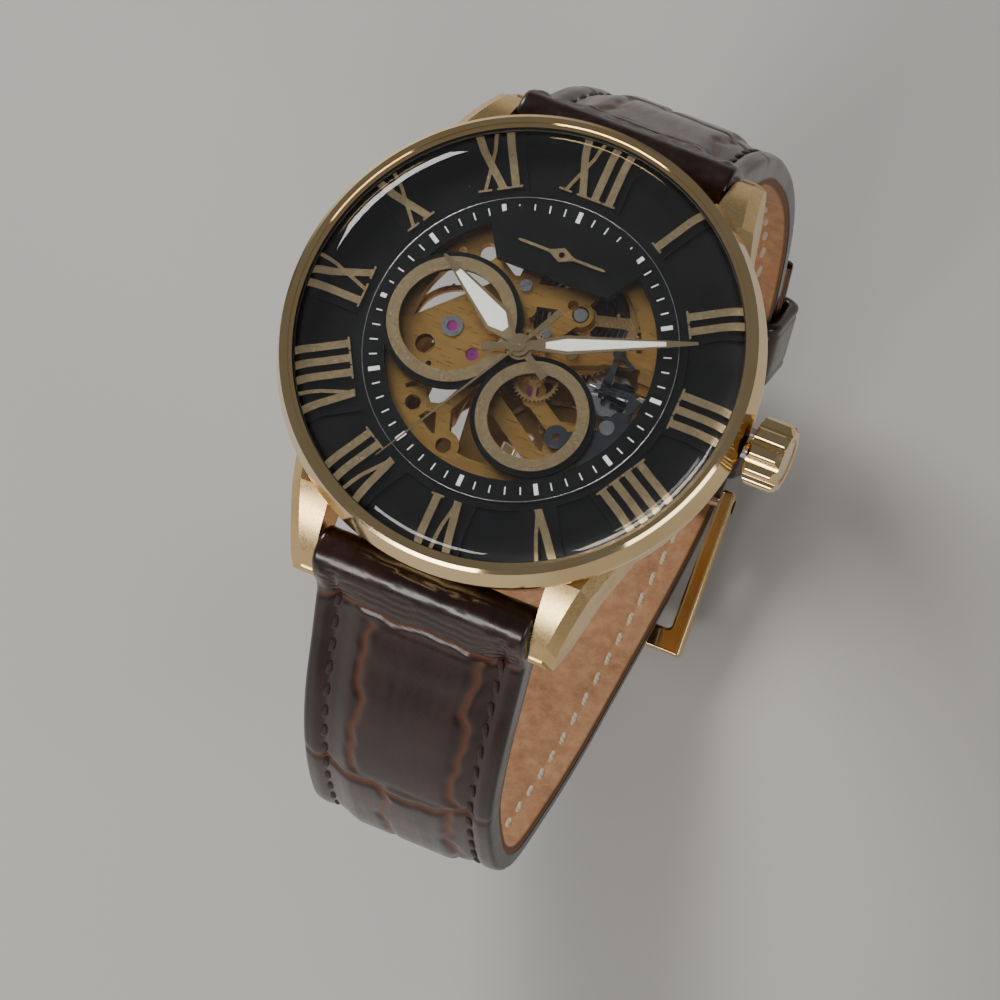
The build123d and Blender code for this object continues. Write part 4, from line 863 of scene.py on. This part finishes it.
HOUR_ANGLE, MINUTE_ANGLE = 299.2, 67.7
HOUR_LEVEL, MINUTE_LEVEL = 0.45, 0.80


def turned_point(x, y, z, clockwise):
    angle = math.radians(-clockwise)
    return Vector((x * math.cos(angle) - y * math.sin(angle), x * math.sin(angle) + y * math.cos(angle),
                   z + DIAL_HEIGHT)) * MM


def crowned_plate(name, outline, low, high, crown, clockwise, material, body, inset=0.25):
    """A thin filled shape whose top rises a little towards its middle."""
    middle = np.mean(np.array(outline), axis=0)
    count = len(outline)
    vertices, faces = [], []
    levels = ((1.0, low), (1.0, high), (1 - inset, high + crown * 0.7), (0.35, high + crown))
    for scale, z in levels:
        for x, y in outline:
            px, py = middle + (np.array((x, y)) - middle) * np.array((scale, 1 - (1 - scale) * 0.35))
            vertices.append(turned_point(px, py, z, clockwise))
    for k in range(len(levels) - 1):
        for m in range(count):
            a, b = k * count + m, k * count + (m + 1) % count
            faces.append((a, b, b + count, a + count))
    faces.append(tuple(range(count))[::-1])
    faces.append(tuple((len(levels) - 1) * count + m for m in range(count)))
    obj = mesh_object(name, vertices, faces, material, body, smooth=False)
    turn_outwards(obj)
    return obj


crowned_plate("hour_lume", [(-0.35, 2.2), (0.35, 2.2), (1.05, 3.5), (0.28, 9.6), (-0.28, 9.6), (-1.05, 3.5)],
              HOUR_LEVEL + 0.03, HOUR_LEVEL + 0.16, 0.05, HOUR_ANGLE, lume, "hour_hand_body")
crowned_plate("minute_lume",
              [(-0.3, 2.5), (0.3, 2.5), (0.62, 4.5), (0.22, 13.7), (-0.22, 13.7), (-0.62, 4.5)],
              MINUTE_LEVEL + 0.03, MINUTE_LEVEL + 0.16, 0.05, MINUTE_ANGLE, lume, "minute_train")


def build_minute_track():
    """Sixty printed strokes, the fives thicker, on the dial's inner ring."""
    vertices, faces = [], []
    low, high = 0.0, 0.03
    for minute in range(60):
        thick = 0.42 if minute % 5 == 0 else 0.13
        inner, outer = (13.25, 14.35) if minute % 5 == 0 else (13.45, 14.2)
        base = len(vertices)
        for z, inset in ((low, 0.0), (high, 0.02)):
            for x, y in ((-thick / 2 + inset, inner + inset), (thick / 2 - inset, inner + inset),
                         (thick / 2 - inset, outer - inset), (-thick / 2 + inset, outer - inset)):
                vertices.append(turned_point(x, y, z, 6 * minute))
        faces.append((base + 4, base + 5, base + 6, base + 7))
        faces.append((base + 3, base + 2, base + 1, base))
        for k in range(4):
            m = (k + 1) % 4
            faces.append((base + k, base + m, base + m + 4, base + k + 4))
    return mesh_object("minute_track", vertices, faces, minute_print, "case", smooth=False)


build_minute_track()


def build_fine_ring(name, radius, width, low, high, material, segments=240):
    """A hair-thin raised ring with a rounded top."""
    section = [(radius - width / 2, low), (radius + width / 2, low), (radius + width / 2, high - 0.01),
               (radius + width / 4, high), (radius - width / 4, high), (radius - width / 2, high - 0.01)]
    vertices = [turned_point(0, r, z, 360 * k / segments) for k in range(segments) for r, z in section]
    count = len(section)
    faces = []
    for k in range(segments):
        for m in range(count):
            a, b = k * count + m, k * count + (m + 1) % count
            c, d = ((k + 1) % segments) * count + (m + 1) % count, ((k + 1) % segments) * count + m
            faces.append((a, b, c, d))
    obj = mesh_object(name, vertices, faces, material, "case")
    turn_outwards(obj)
    return obj


build_fine_ring("track_step_ring", 14.86, 0.09, -0.02, 0.025, steel)


# ------------------------------------------------------------------ floor, light and camera

def plain_floor():
    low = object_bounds()[0]
    size = 1.6
    drop = low[2] - 0.0015
    mesh = bpy.data.meshes.new("floor")
    mesh.from_pydata([(-size, -size, drop), (size, -size, drop), (size, size, drop), (-size, size, drop)], [],
                     [(0, 1, 2, 3)])
    floor = bpy.data.objects.new("floor", mesh)
    bpy.context.scene.collection.objects.link(floor)
    material, tree, output = new_material("pale_floor")
    cloud = noise(tree, place(tree, (1, 1, 1)), 3.0, 2.0)
    base = ramp(tree, cloud, (0.3, rgb(0.60, 0.59, 0.57)), (0.7, rgb(0.63, 0.62, 0.60)))
    finish_with(tree, output, Base_Color=base, Roughness=0.85)
    floor.data.materials.append(material)


def lamp(name, place_mm, target_mm, size_mm, power, color=(1, 1, 1)):
    data = bpy.data.lights.new(name, "AREA")
    data.shape = "RECTANGLE"
    data.size, data.size_y = (s * MM for s in size_mm)
    data.energy = power
    data.color = color
    obj = bpy.data.objects.new(name, data)
    bpy.context.scene.collection.objects.link(obj)
    obj.location = Vector(place_mm) * MM
    direction = Vector(target_mm) * MM - obj.location
    obj.rotation_euler = direction.to_track_quat("-Z", "Y").to_euler()


def studio():
    world = bpy.data.worlds.new("studio")
    bpy.context.scene.world = world
    world.use_nodes = True
    world.node_tree.nodes["Background"].inputs["Color"].default_value = (0.42, 0.43, 0.45, 1)
    world.node_tree.nodes["Background"].inputs["Strength"].default_value = 0.36
    centre = (0, 0, 0)
    lamp("key", (-420, 300, 300), centre, (240, 240), 2.6, (1.0, 0.98, 0.95))
    lamp("fill", (430, -140, 220), centre, (300, 160), 0.6, (1.0, 0.96, 0.9))
    lamp("front", (-120, -460, 240), centre, (340, 130), 1.4, (1.0, 0.97, 0.93))


def set_camera():
    """The photograph's point of view: high over the lower right, twelve o'clock leaning to the right."""
    eye = Vector((106.1, -113.7, 456.9 + DIAL_HEIGHT)) * MM
    target = Vector((4.1, -14.0, DIAL_HEIGHT)) * MM
    roll = math.radians(-22.6)
    data = bpy.data.cameras.new("camera")
    camera = bpy.data.objects.new("camera", data)
    bpy.context.scene.collection.objects.link(camera)
    back = (eye - target).normalized()
    level = (Vector((0, 0, 1)) - back * back.z).normalized()
    up = Matrix.Rotation(roll, 3, back) @ level
    right = up.cross(back)
    camera.matrix_world = Matrix((
        (right.x, up.x, back.x, eye.x), (right.y, up.y, back.y, eye.y),
        (right.z, up.z, back.z, eye.z), (0, 0, 0, 1),
    ))
    data.sensor_width = 36
    data.lens = 186.5
    data.clip_start = 0.01
    bpy.context.scene.camera = camera


plain_floor()
studio()
set_camera()
